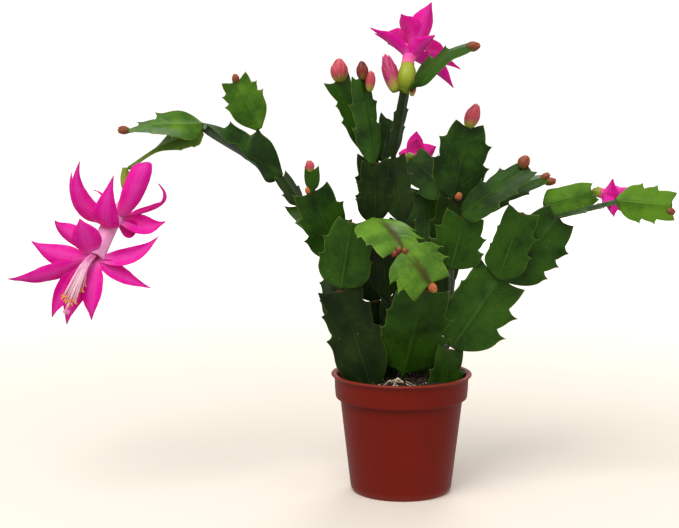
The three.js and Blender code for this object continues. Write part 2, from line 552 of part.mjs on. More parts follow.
function soilGeometry(pockets) {
  const shoulder = POT_HEIGHT - COLLAR_HEIGHT;
  const topRadius = COLLAR_FOOT_RADIUS - WALL - GAP;
  const surface = SOIL_RINGS.toReversed().map((r) => [r, SOIL_TOP]);
  const geometry = lathe([
    [0, FLOOR + GAP], [FOOT_RADIUS - WALL - GAP, FLOOR + GAP],
    [BODY_RADIUS - WALL - GAP, shoulder + 0.2 + GAP], [topRadius, shoulder + 1.4 + GAP],
    [topRadius, SOIL_TOP], ...surface, [0, SOIL_TOP],
  ]);
  const points = geometry.attributes.position;
  for (let i = 0; i < points.count; i += 1) {
    const [x, y] = [points.getX(i), points.getY(i)];
    if (points.getZ(i) === SOIL_TOP) points.setZ(i, soilHeight(x, y));
  }
  let soil = toSolid(geometry);
  for (const pocket of pockets) soil = soil.subtract(toSolid(pocket));
  return toGeometry(soil);
}

function rootsGeometry() {
  const clear = ROOT_RADIUS + GAP + 0.3;
  const over = ([x, y], lift) => new THREE.Vector3(x, y, soilHeight(x, y) + clear + lift);
  const section = new THREE.Shape(Array.from({ length: ROOT_SIDES }, (_, i) => {
    const angle = (2 * Math.PI * i) / ROOT_SIDES;
    return new THREE.Vector2(ROOT_RADIUS * Math.cos(angle), ROOT_RADIUS * Math.sin(angle));
  }));
  const roots = ROOT_ENDS.map((end) => {
    const middle = [(ROOT_START[0] + end[0]) / 2 + 1, (ROOT_START[1] + end[1]) / 2];
    const path = new THREE.CatmullRomCurve3([over(ROOT_START, 1.2), over(middle, 0.6), over(end, 0)]);
    return toSolid(new THREE.ExtrudeGeometry(section,
      { steps: ROOT_STEPS, bevelEnabled: false, extrudePath: path }));
  });
  return toGeometry(roots.reduce((joined, root) => joined.add(root)));
}

// ---------------------------------------------------------------- the whole plant

const plant = new THREE.Group();
const grown = new Map();

const pockets = SHOOTS.filter((shoot) => shoot.at && shoot.at[2] < SOIL_TOP)
  .map((shoot) => loft(bladeRings(shoot, grown, GAP)));
plant.add(mesh('pot', potGeometry(), 'pot'));
plant.add(mesh('soil', soilGeometry(pockets), 'soil'));
plant.add(mesh('surface_roots', rootsGeometry(), 'root'));

for (const shoot of SHOOTS) {
  plant.add(mesh(shoot.name, loft(bladeRings(shoot, grown)), shoot.paint ?? 'leaf'));
}
for (const bud of BUDS) plant.add(mesh(bud.name, loft(budRings(bud, grown)), 'bud'));
for (const flower of FLOWERS) plant.add(mesh(flower.name, flowerSolid(flower, grown), 'petal'));

const mouth = grown.get('arch_flower').tip;
const stamenPath = STAMENS.path.map((p) => vec(p).add(mouth));
plant.add(mesh(STAMENS.name, loft(tubeRings(stamenPath, STAMENS.radii, BUD_SIDES)), 'stamen'));

export default plant;
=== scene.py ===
# %% [markdown]
# # A christmas cactus in a small pot
#
# The plant is a chain of flat, toothed stem segments, with flowers and buds at the ends of the
# chains, in a round nursery pot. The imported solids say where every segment, bud and flower is, so
# this lesson starts by loading them, and then grows a finer skin over each one.

# %% Load the frame
import json
import math
import random

import bmesh
import bpy
import numpy as np
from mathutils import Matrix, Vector, noise


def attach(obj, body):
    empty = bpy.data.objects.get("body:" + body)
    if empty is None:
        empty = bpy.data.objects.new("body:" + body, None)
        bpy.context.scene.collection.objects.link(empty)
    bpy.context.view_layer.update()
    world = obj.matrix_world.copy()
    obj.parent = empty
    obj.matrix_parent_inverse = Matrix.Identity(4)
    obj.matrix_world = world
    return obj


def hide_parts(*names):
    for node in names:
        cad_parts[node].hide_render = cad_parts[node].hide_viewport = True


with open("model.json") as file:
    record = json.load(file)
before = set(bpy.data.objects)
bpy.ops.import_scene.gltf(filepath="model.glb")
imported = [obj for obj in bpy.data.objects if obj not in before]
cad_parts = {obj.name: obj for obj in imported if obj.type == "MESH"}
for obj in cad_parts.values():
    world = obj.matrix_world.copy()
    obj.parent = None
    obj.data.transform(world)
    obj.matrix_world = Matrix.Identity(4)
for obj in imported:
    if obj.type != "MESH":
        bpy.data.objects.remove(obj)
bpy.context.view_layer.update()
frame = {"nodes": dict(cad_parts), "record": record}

MM = 0.001
slots = {part["node"]: part["material_slot"] for part in frame["record"]["subparts"]}
print("the frame has", len(frame["nodes"]), "nodes")

# %% [markdown]
# ## Shader maths in Python
#
# A shader is a graph of small nodes. Drawing it by hand is slow and typing it node by node is
# unreadable, so a socket is wrapped in a class whose operators add the Math nodes. After that a
# mask is one line of arithmetic, and a finish reads like a recipe.

# %% A socket that can be used in arithmetic
class Wire:
    """The output of one shader node. Its operators add Math nodes to the same material."""

    def __init__(self, finish, socket):
        self.finish = finish
        self.socket = socket

    def maths(self, operation, first, second=0.0):
        return self.finish.node("ShaderNodeMath", {"operation": operation}, {0: first, 1: second})

    def __add__(self, other):
        return self.maths("ADD", self, other)

    def __radd__(self, other):
        return self.maths("ADD", other, self)

    def __sub__(self, other):
        return self.maths("SUBTRACT", self, other)

    def __rsub__(self, other):
        return self.maths("SUBTRACT", other, self)

    def __mul__(self, other):
        return self.maths("MULTIPLY", self, other)

    def __rmul__(self, other):
        return self.maths("MULTIPLY", other, self)

    def __abs__(self):
        return self.maths("ABSOLUTE", self)


# %% A finish: one material with one Principled shader
class Finish:
    """A procedural material. `node` is the only method that adds a node."""

    def __init__(self, name, **even):
        self.material = bpy.data.materials.new(name)
        self.material.use_nodes = True
        self.tree = self.material.node_tree
        self.tree.nodes.clear()
        out = self.tree.nodes.new("ShaderNodeOutputMaterial")
        self.shader = self.tree.nodes.new("ShaderNodeBsdfPrincipled")
        self.tree.links.new(self.shader.outputs[0], out.inputs[0])
        for socket, value in even.items():
            self.shader.inputs[socket.replace("_", " ")].default_value = value

    def node(self, kind, settings=None, sockets=None, output=0):
        made = self.tree.nodes.new(kind)
        for setting, value in (settings or {}).items():
            if setting == "stops":
                self.set_stops(made.color_ramp, value)
            else:
                setattr(made, setting, value)
        for socket, value in (sockets or {}).items():
            self.feed(made.inputs[socket], value)
        return Wire(self, made.outputs[output])

    def set_stops(self, ramp, stops):
        for place, colour in stops[1:-1]:
            ramp.elements.new(place).color = (*colour, 1)
        for element, (place, colour) in zip((ramp.elements[0], ramp.elements[-1]),
                                            (stops[0], stops[-1])):
            element.position = place
            element.color = (*colour, 1)

    def feed(self, socket, value):
        if isinstance(value, Wire):
            self.tree.links.new(value.socket, socket)
        elif isinstance(value, tuple) and len(value) == 3 and len(socket.default_value) == 4:
            socket.default_value = (*value, 1)
        else:
            socket.default_value = value

    def shade(self, **sockets):
        for socket, value in sockets.items():
            self.feed(self.shader.inputs[socket.replace("_", " ")], value)
        return self.material

    def attribute(self, name):
        return self.node("ShaderNodeAttribute", {"attribute_name": name}, output=2)

    def place(self):
        return self.node("ShaderNodeTexCoord", output=3)

    def cloud(self, size_mm, detail=2.0, rough=0.5, at=None):
        """Soft noise from 0 to 1, with lumps of about size_mm."""
        sockets = {"Vector": at or self.place(), "Scale": 1 / (size_mm * MM), "Detail": detail,
                   "Roughness": rough}
        return self.node("ShaderNodeTexNoise", None, sockets)

    def dots(self, spacing_mm):
        """Distance to the nearest of many scattered points, as a share of their spacing."""
        return self.node("ShaderNodeTexVoronoi", None,
                         {"Vector": self.place(), "Scale": 1 / (spacing_mm * MM)})

    def step(self, value, low, high):
        """0 below low, 1 above high, and a smooth slope between. Works downwards too."""
        return self.node("ShaderNodeMapRange", {"interpolation_type": "SMOOTHSTEP"},
                         {0: value, 1: low, 2: high})

    def mix(self, factor, first, second):
        """The first colour where factor is 0, the second where it is 1."""
        return self.node("ShaderNodeMix", {"data_type": "RGBA"},
                         {0: factor, 6: first, 7: second}, output=2)

    def ramp(self, value, *stops):
        return self.node("ShaderNodeValToRGB", {"stops": stops}, {0: value})

    def bump(self, height, depth_mm, strength=1.0):
        return self.node("ShaderNodeBump", None,
                         {"Strength": strength, "Distance": depth_mm * MM, "Height": height})


def srgb(*levels):
    """A colour named by its 0 to 255 levels on a screen, in the linear values shaders use."""
    return tuple(((v / 255 + 0.055) / 1.055) ** 2.4 if v > 10 else v / 255 / 12.92
                 for v in levels)


print("a leaf green of 40, 70, 25 is", [round(v, 3) for v in srgb(40, 70, 25)])

# %% [markdown]
# ## The waxy skin of a stem segment
#
# A segment is a flattened stem. Its skin is waxy and satin, with a raised rib down the middle and
# painted shade in the grooves beside it, faint side veins that run to the teeth, cloudy lighter and
# darker patches and a painted highlight along its thin edge.
# Where it joins the segment below it turns corky brown. Two numbers stored on each vertex, how far
# along the segment it is and how far across, place all of this, so one recipe with a few colours
# does every age from old wood to the youngest shoot. One more skin is a lighter copy that paints
# light onto a segment whose shaded underside faces the front.

# %% The recipe for a segment's skin
def skin(name, dark, light, rib, edge, middle_band=None, gloss=0.42):
    wax = Finish(name, IOR=1.4, Specular_IOR_Level=0.26, Subsurface_Weight=0.05,
                 Subsurface_Scale=0.0015)
    along, across, tone = wax.attribute("along"), wax.attribute("across"), wax.attribute("tone")
    side = abs(across)
    patches, grain = wax.cloud(11.0, 4.0, 0.6), wax.cloud(0.8, 3.0)
    body = wax.mix(wax.step(patches * 0.85 + grain * 0.15 + tone * 0.3, 0.46, 0.84), dark, light)
    run = wax.node("ShaderNodeMath", {"operation": "FRACT"},
                   {0: along * 4.0 - side * 1.2 + patches * 0.5 + tone})
    vein = wax.step(abs(run - 0.5), 0.44, 0.5) * wax.step(side, 0.92, 0.5)
    vein = vein * wax.step(side, 0.08, 0.3)
    body = wax.mix(vein * 0.08, body, rib)
    groove = wax.step(abs(side - 0.1), 0.05, 0.0) * wax.step(along, 1.0, 0.4)
    # painted shade: the grooves beside the rib are darkened here, as well as sunk by the bump
    body = wax.mix(groove * 0.3, body, dark)
    middle = wax.step(side + grain * 0.02, 0.055, 0.02) * wax.step(along, 1.0, 0.3)
    body = wax.mix(middle * tone * 0.5, body, rib)
    # the young skins darken a brownish band down the middle, stronger towards the tip
    if middle_band:
        zone = wax.step(side + patches * 0.1, 0.27, 0.08) * wax.step(along, 0.1, 0.55)
        body = wax.mix(zone * 0.8, body, middle_band)
    # painted highlight: a thin light line along the edge
    body = wax.mix(wax.step(side + grain * 0.03, 0.965, 1.0) * 0.3, body, edge)
    joint = wax.step(along + side * 0.03 + grain * 0.03, 0.045, 0.02)
    seat = wax.step(along, 0.975, 0.995) * wax.step(side, 0.9, 0.5)
    wood = wax.node("ShaderNodeMath", {"operation": "MAXIMUM"}, {0: joint * 0.8, 1: seat * 0.75})
    body = wax.mix(wood, body, srgb(84, 54, 26))
    speck = wax.step(wax.dots(3.8), 0.06, 0.035) * wax.step(patches, 0.45, 0.6)
    body = wax.mix(speck * 0.5, body, srgb(184, 196, 130))
    height = middle * 0.5 + vein * 0.4 + patches * 0.6 + grain * 0.2 - groove * 0.5
    return wax.shade(Base_Color=body, Roughness=wood * 0.3 + grain * 0.16 + (gloss - 0.05),
                     Normal=wax.bump(height, 0.25, 0.7))


SKINS = {
    "old": skin("old_stem_skin", srgb(16, 34, 4), srgb(40, 62, 8), srgb(66, 92, 24),
                srgb(96, 124, 36), gloss=0.46),
    "grown": skin("grown_leaf_skin", srgb(20, 46, 4), srgb(50, 88, 12), srgb(78, 116, 26),
                  srgb(132, 168, 52)),
    "fresh": skin("fresh_leaf_skin", srgb(52, 92, 12), srgb(94, 138, 26), srgb(112, 150, 44),
                  srgb(150, 182, 66)),
    # painted light: a lighter copy of the leaf skin, for a segment whose shaded underside faces the
    # front
    "pale": skin("lit_copy_leaf_skin", srgb(96, 130, 40), srgb(140, 176, 66), srgb(150, 182, 80),
                 srgb(168, 190, 90)),
    "young": skin("young_leaf_skin", srgb(60, 98, 20), srgb(104, 148, 38), srgb(124, 158, 54),
                  srgb(146, 172, 66), middle_band=srgb(70, 52, 20)),
}
print("skins:", ", ".join(SKINS))

# %% [markdown]
# ## Pieces made of rings
#
# Stems, petals, tubes and buds all grow along a line, so all of them are lofts: rings of points
# set along the line and joined. A growth gathers several lofts, with three numbers on every point
# (how far along, how far across, and a tone that differs from part to part), and then becomes one
# mesh. Lengths here are millimetres, which are easier to read than metres.

# %% Gather lofts and make one piece of them
def bands(rows, sides):
    """The faces between rings of points, each ring joined to the next."""
    return [(r * sides + i, r * sides + (i + 1) % sides,
             (r + 1) * sides + (i + 1) % sides, (r + 1) * sides + i)
            for r in range(rows - 1) for i in range(sides)]


def new_object(name, data):
    made = bpy.data.objects.new(name, data)
    bpy.context.scene.collection.objects.link(made)
    return made


class Growth:
    """The points and faces of one piece, and the numbers that its finish reads on each point."""

    def __init__(self):
        self.points = []
        self.faces = []
        self.marks = []
        self.count = 0

    def add(self, points, faces, along=0.0, across=0.0, *, tone):
        points = np.asarray(points, dtype=float).reshape(-1, 3)
        self.faces += [[i + self.count for i in face] for face in faces]
        self.points.append(points)
        self.marks.append(np.stack([np.broadcast_to(np.ravel(mark), len(points))
                                    for mark in (along, across, tone)], axis=1))
        self.count += len(points)

    def loft(self, rings, along=None, across=0.0, tone=0.5):
        """A closed body through rings of points: an array of rows, points round, and x y z."""
        rows, sides = rings.shape[:2]
        first_cap = list(range(sides))
        last_cap = [(rows - 1) * sides + i for i in range(sides)]
        if along is None:
            along = np.linspace(0, 1, rows)
        self.add(rings, bands(rows, sides) + [first_cap, last_cap], np.repeat(along, sides),
                 across, tone=tone)

    def piece(self, name, finish, slot, *nodes):
        mesh = bpy.data.meshes.new(name)
        mesh.from_pydata((np.concatenate(self.points) * MM).tolist(), [], self.faces)
        shaped = bmesh.new()
        shaped.from_mesh(mesh)
        bmesh.ops.recalc_face_normals(shaped, faces=shaped.faces)
        shaped.to_mesh(mesh)
        shaped.free()
        marks = np.concatenate(self.marks).astype(np.float32)
        for column, mark in enumerate(("along", "across", "tone")):
            layer = mesh.attributes.new(mark, "FLOAT", "POINT")
            layer.data.foreach_set("value", marks[:, column])
        mesh.shade_smooth()
        mesh.materials.append(finish)
        made = new_object(name, mesh)
        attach(made, "root")
        if nodes:
            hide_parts(*nodes)
        return made


def unit(v):
    return v / np.maximum(np.linalg.norm(v, axis=-1, keepdims=True), 1e-9)


def wobble(points, size_mm, seed=0.0):
    """Smooth noise from about -1 to 1 at each point, with waves of about size_mm."""
    flat = np.asarray(points).reshape(-1, 3)
    return np.array([noise.noise(Vector(p / size_mm) + Vector((seed, seed, seed)))
                     for p in flat]).reshape(np.shape(points)[:-1])


# %% A smooth line through points
def through(points, places):
    """A smooth line through points: place 2.5 is halfway from the third point to the fourth."""
    step = np.diff(points, axis=0)
    length = np.maximum(np.linalg.norm(step, axis=1, keepdims=True), 1e-6)
    slope = step / length
    inner = (slope[1:] * length[:-1] + slope[:-1] * length[1:]) / (length[1:] + length[:-1])
    slope = np.concatenate([slope[:1], inner, slope[-1:]])
    i = np.clip(np.floor(places).astype(int), 0, len(points) - 2)
    q = (places - i)[:, None]
    return ((2 * q**3 - 3 * q**2 + 1) * points[i] + (q**3 - 2 * q**2 + q) * length[i] * slope[i]
            + (3 * q**2 - 2 * q**3) * points[i + 1] + (q**3 - q**2) * length[i] * slope[i + 1])


ASKEW = np.array([0.31, 0.87, 0.13])    # a direction that no stalk here grows in


def frame_along(line, hint):
    """The direction of a line at each of its points, and two directions across it."""
    ahead = unit(np.gradient(line, axis=0))
    side = unit(np.cross(ahead, hint))
    return ahead, side, np.cross(side, ahead)


def full_turn(count):
    """Angles all the way round, evenly spaced."""
    return np.linspace(0, 2 * np.pi, count, endpoint=False)


def round_of(side, up, turn):
    """The direction at each angle round a line, from two directions across it."""
    return side[..., None, :] * np.cos(turn)[:, None] + up[..., None, :] * np.sin(turn)[:, None]


def lathe(profile, sides):
    """Level rings round the upright axis, from a profile of radius and height."""
    turn = full_turn(sides)
    around = np.stack([np.cos(turn), np.sin(turn), np.zeros(sides)], axis=1)
    return np.stack([around * r + np.array([0, 0, z]) for r, z in profile])


def tube(growth, points, radii, rows, sides, tone=0.5, hint=ASKEW, bumps=None):
    """A round stalk through points, whose radius changes along it."""
    share = np.linspace(0, 1, rows)
    line = through(np.array(points, dtype=float), share * (len(points) - 1))
    radius = np.interp(share, np.linspace(0, 1, len(radii)), radii)
    _, side, up = frame_along(line, hint)
    turn = full_turn(sides)
    out = round_of(side, up, turn)
    reach = radius[:, None] * (1 if bumps is None else bumps(share[:, None], turn[None]))
    growth.loft(line[:, None] + out * np.broadcast_to(reach, (rows, sides))[..., None],
                share, tone=tone)


# %% [markdown]
# ## Reading a segment back from its solid
#
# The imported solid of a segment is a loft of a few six-sided rings: a left edge, two points of the
# upper rib, a right edge and two points of the lower rib. Welding its corners and walking from one
# end cap to the other gives those rings again, so the fine segment is exactly where the solid is
# and nothing has to be fitted by eye.

# %% The rings of a lofted solid
WELD = 0.01    # mm: corners closer than this are one corner


def rings_of(node):
    """The rings of a packed loft, in mm, from one of its ends to the other."""
    solid = bmesh.new()
    solid.from_mesh(frame["nodes"][node].data)
    bmesh.ops.remove_doubles(solid, verts=solid.verts, dist=WELD * MM)
    solid.verts.index_update()
    near = {v.index: sorted(e.other_vert(v).index for e in v.link_edges) for v in solid.verts}
    place = {v.index: np.array(v.co) / MM for v in solid.verts}
    solid.free()
    cap = next(v for v in near if all(len(near[w]) == 5 for w in near[v]))
    seen = {cap}
    layer = near[cap]
    rings = []
    while len(layer) > 1:
        ring = [layer[0]]
        while len(ring) < len(layer):
            ring.append(next(w for w in near[ring[-1]] if w in layer and w not in ring))
        rings.append(np.array([place[v] for v in ring]))
        seen.update(layer)
        layer = sorted({w for v in layer for w in near[v]} - seen)
    return rings


# %% The stations of a segment, base first
def stations_of(node):
    """Left and right edges, middle, upward direction and half thickness at each ring."""
    left, right, middle, up = [], [], [], []
    for ring in rings_of(node):
        k = max(range(3), key=lambda i: np.linalg.norm(ring[i] - ring[i + 3]))
        ring = np.roll(ring, -k, axis=0)
        lift = (ring[1] + ring[2] - ring[4] - ring[5]) / 2
        if left:
            if (ring[0] - ring[3]) @ (left[-1] - right[-1]) < 0:
                ring = np.roll(ring, 3, axis=0)
                lift = -lift
            if lift @ up[-1] < 0:
                lift = -lift
        left.append(ring[0])
        right.append(ring[3])
        middle.append(ring[[1, 2, 4, 5]].mean(axis=0))
        up.append(lift)
    stations = [np.array(part) for part in (left, right, middle, up)]
    if np.linalg.norm(up[0]) < np.linalg.norm(up[-1]):
        stations = [part[::-1] for part in stations]
    return stations


tips = {}
for node, slot in slots.items():
    if slot in ("leaf", "stem", "young_leaf"):
        middle = stations_of(node)[2]
        tips[node] = (middle[-1], unit(middle[-1] - middle[0]))
print("read back", len(tips), "segments")

# %% [markdown]
# ## A stem segment
#
# A real segment is about two millimetres thick over the rib and under one near the edge. Between
# two teeth the edge swells out and then runs in under the next point, and each tooth ends in a
# small sharp claw. The thin part isn't flat: it ripples a little, and the side veins stand up.
# A loft whose rings run from edge to edge gives all of that as real shape.

# %% The toothed edge
TOOTH_REACH = 1.1      # mm that a tooth's point is drawn out past the solid
TOOTH_DEPTH = 0.25     # mm that an edge steps in after a tooth: less is no tooth


def toothed_edge(edge, middle, first, places):
    """The edge at each place, its points with the teeth drawn out, and which of them are teeth.
    A side that doesn't widen at a tooth is bare there and runs smoothly on."""
    last = len(edge) - 1
    half = np.linalg.norm(edge - middle, axis=1)
    line = through(edge, places)
    edge = edge.copy()
    teeth = []
    for k in [*range(first, last - 1, 2), last - 1]:
        depth = half[k] - half[k + 1]
        slim = k == last - 1 and np.linalg.norm(middle[last] - middle[k]) > 4
        if depth < TOOTH_DEPTH or slim:
            continue
        teeth.append(k)
        out = unit(edge[k] - middle[k])
        ahead = unit(middle[k] - middle[k - 1])
        share = min(1.0, depth / (0.22 * half.max()))
        edge[k] += unit(out + ahead * 0.5) * TOOTH_REACH * share
    for row, place in enumerate(places):
        i = min(int(place), last - 1)
        if i not in teeth and i + 1 not in teeth:
            continue
        q = place - i
        chord = edge[i + 1] - edge[i]
        out = (edge[i] + edge[i + 1]) / 2 - (middle[i] + middle[i + 1]) / 2
        out = unit(out - unit(chord) * (out @ unit(chord)))
        if i == last - 1:
            swell = -0.06 * math.sin(math.pi * q)
        elif i in teeth:
            swell = -0.13 * math.sin(math.pi * q)
        elif i == last - 2:
            swell = 0.05 * math.sin(math.pi * q)
        else:
            swell = 0.03 * math.sin(2 * math.pi * q) - 0.03 * math.sin(math.pi * q)
        bent = edge[i] + chord * q + out * swell * np.linalg.norm(chord)
        blend = 1.0 if i in teeth or i > first else q * q * (3 - 2 * q)
        line[row] = line[row] * (1 - blend) + bent * blend
    return line, edge, teeth


# %% A whole segment
ACROSS = np.array([0, 0.03, 0.07, 0.12, 0.18, 0.26, 0.37, 0.5, 0.64, 0.78, 0.88, 0.95, 0.985, 1])
ACROSS = np.concatenate([-ACROSS[:0:-1], ACROSS])
SUNK = 0.9       # mm that a segment's base goes into the one below, to close the gap
RIPPLE = 0.5     # mm that its thin parts wave up and down
claws = []


def segment(node, finish, tone):
    """The fine skin of one segment, over the stations of its solid."""
    left, right, middle, up = stations_of(node)
    last = len(middle) - 1
    first = last - 1 - 2 * ((last - 4) // 2)
    half = np.linalg.norm(up, axis=1, keepdims=True) / 2
    grows = unit(middle[1] - middle[0])
    for part in (left, right, middle):
        part[0] -= grows * SUNK
    counts = [3] * (first - 1) + [8] + [4, 10] * ((last - 1 - first) // 2) + [7]
    if first == last - 1:
        counts = [3] * (first - 1) + [8, 7]
    places = np.concatenate([i + np.arange(n) / n for i, n in enumerate(counts)] + [[last]])
    m = through(middle, places)
    u = unit(through(unit(up), places))
    thick = through(half, places)
    l, left, left_teeth = toothed_edge(left, middle, first, places)
    r, right, right_teeth = toothed_edge(right, middle, first, places)
    wide = np.linalg.norm(r - l, axis=1, keepdims=True) / 2
    a = ACROSS[None, :, None]
    surface = (m[:, None] + (r - l)[:, None] / 2 * a
               + ((l + r) / 2 - m)[:, None] * np.abs(a) ** 1.5)
    rib = np.clip(1.5 / np.maximum(wide, 0.1), 0.08, 0.7)
    depth = thick * (0.4 * np.sqrt(np.maximum(0, 1 - np.abs(ACROSS) ** 3))
                     + 0.6 * np.exp(-(ACROSS / rib) ** 2) * (1 - ACROSS ** 4))
    calm = np.clip(wide / 4 - 0.3, 0, 1)
    along = np.concatenate([[0], np.cumsum(np.linalg.norm(np.diff(m, axis=0), axis=1))])
    along /= along[-1]
    vein = np.abs((along[:, None] * 5 - np.abs(ACROSS) * 1.3) % 1 - 0.5) * 2
    wave = (wobble(surface, 9.0, tone * 7) * RIPPLE * np.abs(ACROSS) ** 1.3
            + np.maximum(0, vein - 0.8) * 0.5 * np.sin(np.pi * np.abs(ACROSS))) * calm
    top = surface + u[:, None] * (wave + depth)[..., None]
    under = (surface + u[:, None] * (wave - depth)[..., None])[:, -2:0:-1]
    rings = np.concatenate([top, under], axis=1)
    across = np.concatenate([ACROSS, ACROSS[-2:0:-1]])
    end = rings[-1:].mean(axis=1, keepdims=True)
    cap = end + (rings[-1:] - end) * 0.35 + unit(m[-1] - m[-2]) * 0.35
    rings = np.concatenate([rings, cap])
    growth = Growth()
    growth.loft(rings, np.append(along, 1.0), np.tile(across, len(rings)), tone)
    for edge, teeth in ((left, left_teeth), (right, right_teeth)):
        for k in teeth:
            claws.append((edge[k], unit(edge[k] - middle[k]), unit(middle[k] - middle[k - 1])))
    return growth.piece(node + "_skin", SKINS[finish], slots[node], node)


AGES = {
    "old": """front_stem_1 front_stem_2 centre_leaf centre_stem_1 centre_stem_2 upright_stem_1
        upright_stem_2 upright_stem_3 upright_stem_4 back_stem_1 back_stem_2 side_stem_1
        side_stem_2 arch_leaf_1 arch_leaf_3 left_leaf_1""",
    "grown": """front_leaf left_leaf_2 dark_leaf small_leaf arch_leaf_2 arch_leaf_4
        upright_leaf_1 upright_leaf_2 upright_leaf_3 broad_leaf back_leaf_1 back_leaf_2
        right_leaf_1 right_leaf_2 right_leaf_3 right_leaf_4 right_leaf_6 side_leaf_1 side_leaf_2
        side_leaf_3 top_leaf""",
    "fresh": "bright_leaf arch_leaf_5 right_leaf_5 right_leaf_7",
    # painted light: this segment's underside is in shade, so it gets the lighter copy of the skin
    "pale": "arch_leaf_6",
    "young": "young_leaf_1 young_leaf_2",
}
shades = random.Random(3)
total = 0
for finish, nodes in AGES.items():
    for node in nodes.split():
        total += len(segment(node, finish, shades.uniform(0.2, 0.8)).data.polygons)
print("the segments have", total, "faces")

# %% [markdown]
# ## Bristles
#
# Every tooth of this plant shelters an areole, the small cushion where other cacti carry their
# spines. Here about one in three holds a short pale bristle, a thin cone a few tenths of a
# millimetre thick at the root. All of them make one piece.

# %% The bristles on the teeth
bristles = Growth()
shades = random.Random(11)
for spot, out, ahead in claws:
    for _ in range(shades.choice((0, 0, 1))):
        lean = unit(out * shades.uniform(0.2, 1.0) + ahead * shades.uniform(0.4, 1.2)
                    + np.array([shades.uniform(-0.3, 0.3) for _ in range(3)]))
        reach = shades.uniform(0.5, 1.1)
        root = spot - (out + ahead) * 0.35
        tube(bristles, [root, root + lean * reach * 0.6, root + lean * (reach + 0.5)],
             [0.14, 0.08, 0.02], rows=4, sides=5, tone=shades.random())
straw = Finish("bristle_straw", Roughness=0.55)
straw_mix = straw.mix(straw.attribute("tone"), srgb(150, 150, 88), srgb(120, 100, 54))
straw.shade(Base_Color=straw.mix(straw.cloud(0.6), straw_mix, srgb(170, 168, 110)))
bristles.piece("pale_bristles", straw.material, "leaf")
print(len(claws), "teeth carry", len(bristles.points), "bristles")

# %% [markdown]
# ## Buds
#
# A flower bud is a small pointed egg of overlapping scales. The lowest scales are yellow-green and
# the tips take the colour of the flower. The solid gives each bud's two ends and its radius. The
# fine one is an egg for the heart of the bud with thin pointed scales wrapped round it, which
# lift a little at their tips.

# %% How buds are coloured
def bud_skin(name, foot, body, tip):
    wax = Finish(name, IOR=1.42, Subsurface_Weight=0.12, Subsurface_Scale=0.001)
    along, tone = wax.attribute("along"), wax.attribute("tone")
    grain = wax.cloud(1.2, 3.0)
    run = along + grain * 0.16 + tone * 0.16 - 0.16
    colour = wax.ramp(run, (0.06, foot), (0.42, body), (0.75, body), (0.95, tip))
    edge = wax.step(abs(wax.attribute("across")), 0.7, 1.0)
    colour = wax.mix(edge * 0.45, colour, tip)
    streak = wax.node("ShaderNodeTexWave", {"bands_direction": "Z"},
                      {"Vector": wax.place(), "Scale": 600.0, "Distortion": 6.0})
    colour = wax.mix(streak * 0.12, colour, foot)
    return wax.shade(Base_Color=colour, Roughness=grain * 0.2 + 0.32,
                     Normal=wax.bump(grain + streak * 0.4, 0.12, 0.5))


LIME = srgb(160, 176, 44)
BUD_SKINS = {
    "pink": bud_skin("pink_bud_skin", LIME, srgb(204, 62, 90), srgb(216, 92, 110)),
    "red": bud_skin("red_bud_skin", srgb(126, 106, 36), srgb(128, 38, 34), srgb(104, 28, 30)),
    "brown": bud_skin("brown_bud_skin", srgb(110, 92, 36), srgb(140, 66, 40), srgb(186, 92, 56)),
    "orange": bud_skin("orange_bud_skin", srgb(96, 64, 34), srgb(196, 102, 50),
                       srgb(226, 150, 96)),
    "magenta": bud_skin("magenta_bud_skin", srgb(176, 190, 50), srgb(186, 26, 106),
                        srgb(206, 40, 130)),
}


# %% An egg of scales
SCALE_ROWS = 12
SCALE_COLUMNS = 7
SCALE_THICKNESS = 0.3
SCALE_TURN = 2.4    # radians from one scale to the next, so none is right over another


def scale_rings(line, side, up, radius, turn, spread, top, lift):
    """One pointed scale that wraps round a bud, as a thin closed loft."""
    share = np.linspace(0, 1, SCALE_ROWS)
    place = share * top * (len(line) - 1)
    i = np.minimum(place.astype(int), len(line) - 2)
    q = (place - i)[:, None]
    centre = line[i] * (1 - q) + line[i + 1] * q
    girth = (radius[i] * (1 - q[:, 0]) + radius[i + 1] * q[:, 0])
    wide = spread * np.sqrt(np.maximum(0.0, 1 - share ** 2.4)) + 0.03
    over = np.linspace(-1, 1, SCALE_COLUMNS)
    angle = turn + over[None] * wide[:, None]
    out = side * np.cos(angle)[..., None] + up * np.sin(angle)[..., None]
    reach = girth[:, None] + 0.1 + lift * share[:, None] ** 3 + 0.12 * (1 - over[None] ** 2)
    outer = centre[:, None] + out * reach[..., None]
    inner = centre[:, None] + out * (reach - SCALE_THICKNESS)[..., None]
    rings = np.concatenate([outer, inner[:, ::-1]], axis=1)
    return rings, np.tile(np.concatenate([over, over[::-1]]), SCALE_ROWS)


